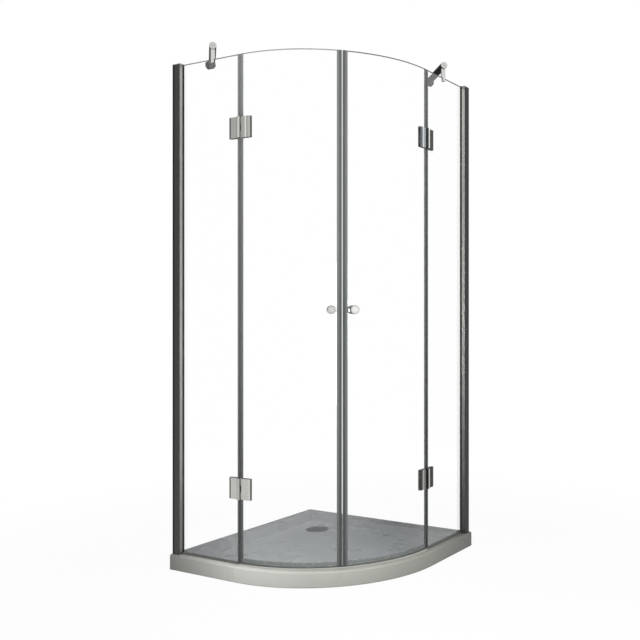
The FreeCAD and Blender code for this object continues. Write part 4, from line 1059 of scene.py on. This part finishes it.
@dataclass
class FixedPanel:
    """One flat pane in its wall profile, with its support arm."""

    side: Side

    def dress(self) -> None:
        """Give the pane's nodes their finishes."""
        end = self.side.value
        dress(PROFILE_METAL[self.side], f"glazing_profile_{end}")
        dress(ALUMINIUM, f"wall_channel_{end}", f"profile_cap_{end}")
        dress(GASKET_GREY, f"panel_gasket_{end}")
        dress(SILL_SEAL, f"panel_bottom_seal_{end}")
        dress(PANE_GLASS[self.side], f"fixed_glass_{end}")
        dress(VINYL[self.side], f"panel_edge_seal_{end}")
        dress(CHROME, f"support_clamp_{end}")
        dress(BAR_METAL[self.side], f"support_bar_{end}")
        dress(CHROME_PAINTED_SHADE, f"support_flange_{end}")
        for level in Level:
            metal = leaf_metal(Leaf.FRAME, self.side, level)
            dress(metal, f"hinge_frame_leaf_{level.value}_{end}")


@dataclass
class Door:
    """One curved door with its seals, hinge leaves and knobs."""

    side: Side

    def dress(self) -> None:
        """Give the door's nodes their finishes."""
        end = self.side.value
        dress(DOOR_GLASS[self.side], f"door_glass_{end}")
        dress(VINYL[self.side], f"hinge_edge_seal_{end}")
        dress(SILL_VINYL, f"door_bottom_seal_{end}")
        tip = tuple(Vector(self.side.place(1, 1, 0)).normalized())
        dress(MeetingSeal(name=f"vinyl_magnet_{end}", tip=tip), f"magnet_seal_{end}")
        dress(MAGNET, f"magnet_strip_{end}")
        dress(knob_metal(self.side), f"door_knobs_{end}")
        dress(STEEL, f"knob_stud_{end}", f"hinge_door_screws_{end}")
        for level in Level:
            metal = leaf_metal(Leaf.DOOR, self.side, level)
            dress(metal, f"hinge_door_leaf_{level.value}_{end}")
        dress(NICKEL_DARK, f"hinge_door_clamps_{end}")
        dress(GASKET_CLEAR, f"hinge_door_gaskets_{end}")


@dataclass
class Fasteners:
    """Pins, screws and hidden hinge parts of the fixed side."""

    def dress(self) -> None:
        """Give the fasteners their finishes."""
        dress(STEEL, "hinge_pins", "hinge_frame_screws", "profile_lock_screws", "support_grub_screws")
        dress(NICKEL_DARK, "hinge_frame_clamps")
        dress(GASKET_CLEAR, "hinge_frame_gaskets")


def add_object(name: str, data: bpy.types.ID) -> bpy.types.Object:
    """Make an object of this data and link it to the scene."""
    added = bpy.data.objects.new(name, data)
    bpy.context.collection.objects.link(added)
    return added


def add_sheet(finish: Finish, points: list[Place], faces: list[tuple[int, ...]]) -> bpy.types.Object:
    """Make a studio surface, named after its finish.

    Args:
        finish: The surface's finish.
        points: Its corners.
        faces: The corners of each face, by their index.

    Returns:
        The surface.
    """
    mesh = bpy.data.meshes.new(finish.name)
    mesh.from_pydata(points, [], faces)
    mesh.materials.append(finish.make())
    return add_object(finish.name, mesh)


@dataclass(frozen=True)
class Lamp:
    """A square lamp that polished surfaces don't mirror."""

    name: str
    place: Place
    target: Place
    width: float
    power: float

    def make(self) -> None:
        """Make the lamp and point it at its target."""
        data = bpy.data.lights.new(self.name, "AREA")
        data.shape = "SQUARE"
        data.size = self.width
        data.energy = self.power
        lamp = add_object(self.name, data)
        lamp.location = self.place
        lamp.visible_glossy = False
        view = Vector(self.target) - Vector(self.place)
        lamp.rotation_euler = view.to_track_quat("-Z", "Y").to_euler()


@dataclass
class Studio:
    """A plain white floor, soft lamps, a white surround and the photograph's camera."""

    ambient: float = 0.3
    floor_half: float = 40.0
    floor_drop: float = 0.0005
    flag_radius: float = 3.2
    flag_heights: Range = (0.0, 4.2)
    flag_angles: Range = (75, 214)
    flag_steps: int = 24
    lamps: tuple[Lamp, ...] = (
        Lamp("key", (1.35, -1.35, 0.9), (0.1, -0.1, 0.03), 0.9, 20),
        Lamp("top", (-0.2, -0.2, 3.6), (0.0, 0.0, 0.0), 2.0, 18),
    )
    camera_place: Place = (2.16932, -2.88723, 1.02555)
    camera_turn: float = 28.8133
    camera_lens: float = 47.528
    camera_sensor: float = 36.0
    camera_shift: Range = (-0.20081, -0.00891)

    def make_world(self) -> None:
        """Make the surround: white where it is seen, softer as a light."""
        world = bpy.data.worlds.new("studio")
        bpy.context.scene.world = world
        world.use_nodes = True
        graph = Graph(world.node_tree)
        strength = self.ambient + (1 - self.ambient) * graph.seen()
        sockets = {"Color": (1.0, 1.0, 1.0, 1.0), "Strength": strength}
        graph.end(graph.node("ShaderNodeBackground", None, sockets))

    def make_floor(self) -> None:
        """Make the floor, just under the object's feet."""
        half = self.floor_half
        corners = [(-half, -half, 0), (half, -half, 0), (half, half, 0), (-half, half, 0)]
        floor = add_sheet(FloorPaper("studio_floor"), corners, [(0, 1, 2, 3)])
        floor.location.z = -self.floor_drop

    def make_flag(self) -> None:
        """Make the dark curved flag behind the object, which only polished surfaces mirror."""
        start, end = (math.radians(angle) for angle in self.flag_angles)
        points, faces = [], []
        for step in range(self.flag_steps + 1):
            angle = start + (end - start) * step / self.flag_steps
            x, y = self.flag_radius * math.cos(angle), self.flag_radius * math.sin(angle)
            points += [(x, y, z) for z in self.flag_heights]
        for first in range(0, 2 * self.flag_steps, 2):
            faces.append((first, first + 1, first + 3, first + 2))
        flag = add_sheet(FlagCard("studio_flag"), points, faces)
        for ray in ("camera", "diffuse", "volume_scatter", "shadow"):
            setattr(flag, f"visible_{ray}", False)

    def make_camera(self) -> None:
        """Make the camera at the photograph's place."""
        data = bpy.data.cameras.new("camera")
        data.lens = self.camera_lens
        data.sensor_width = self.camera_sensor
        data.shift_x, data.shift_y = self.camera_shift
        camera = add_object("camera", data)
        camera.location = self.camera_place
        camera.rotation_euler = (math.radians(90), 0, math.radians(self.camera_turn))
        bpy.context.scene.camera = camera

    def build(self) -> None:
        """Build the whole studio."""
        bpy.context.scene.view_settings.view_transform = "Standard"
        self.make_world()
        self.make_floor()
        self.make_flag()
        for lamp in self.lamps:
            lamp.make()
        self.make_camera()


def main() -> None:
    """Build the studio, then dress every sub-assembly in order."""
    logging.basicConfig(level=logging.INFO)
    Studio().build()
    Tray().dress()
    for side in Side:
        FixedPanel(side).dress()
        Door(side).dress()
    Fasteners().dress()


if __name__ == "__main__":
    main()
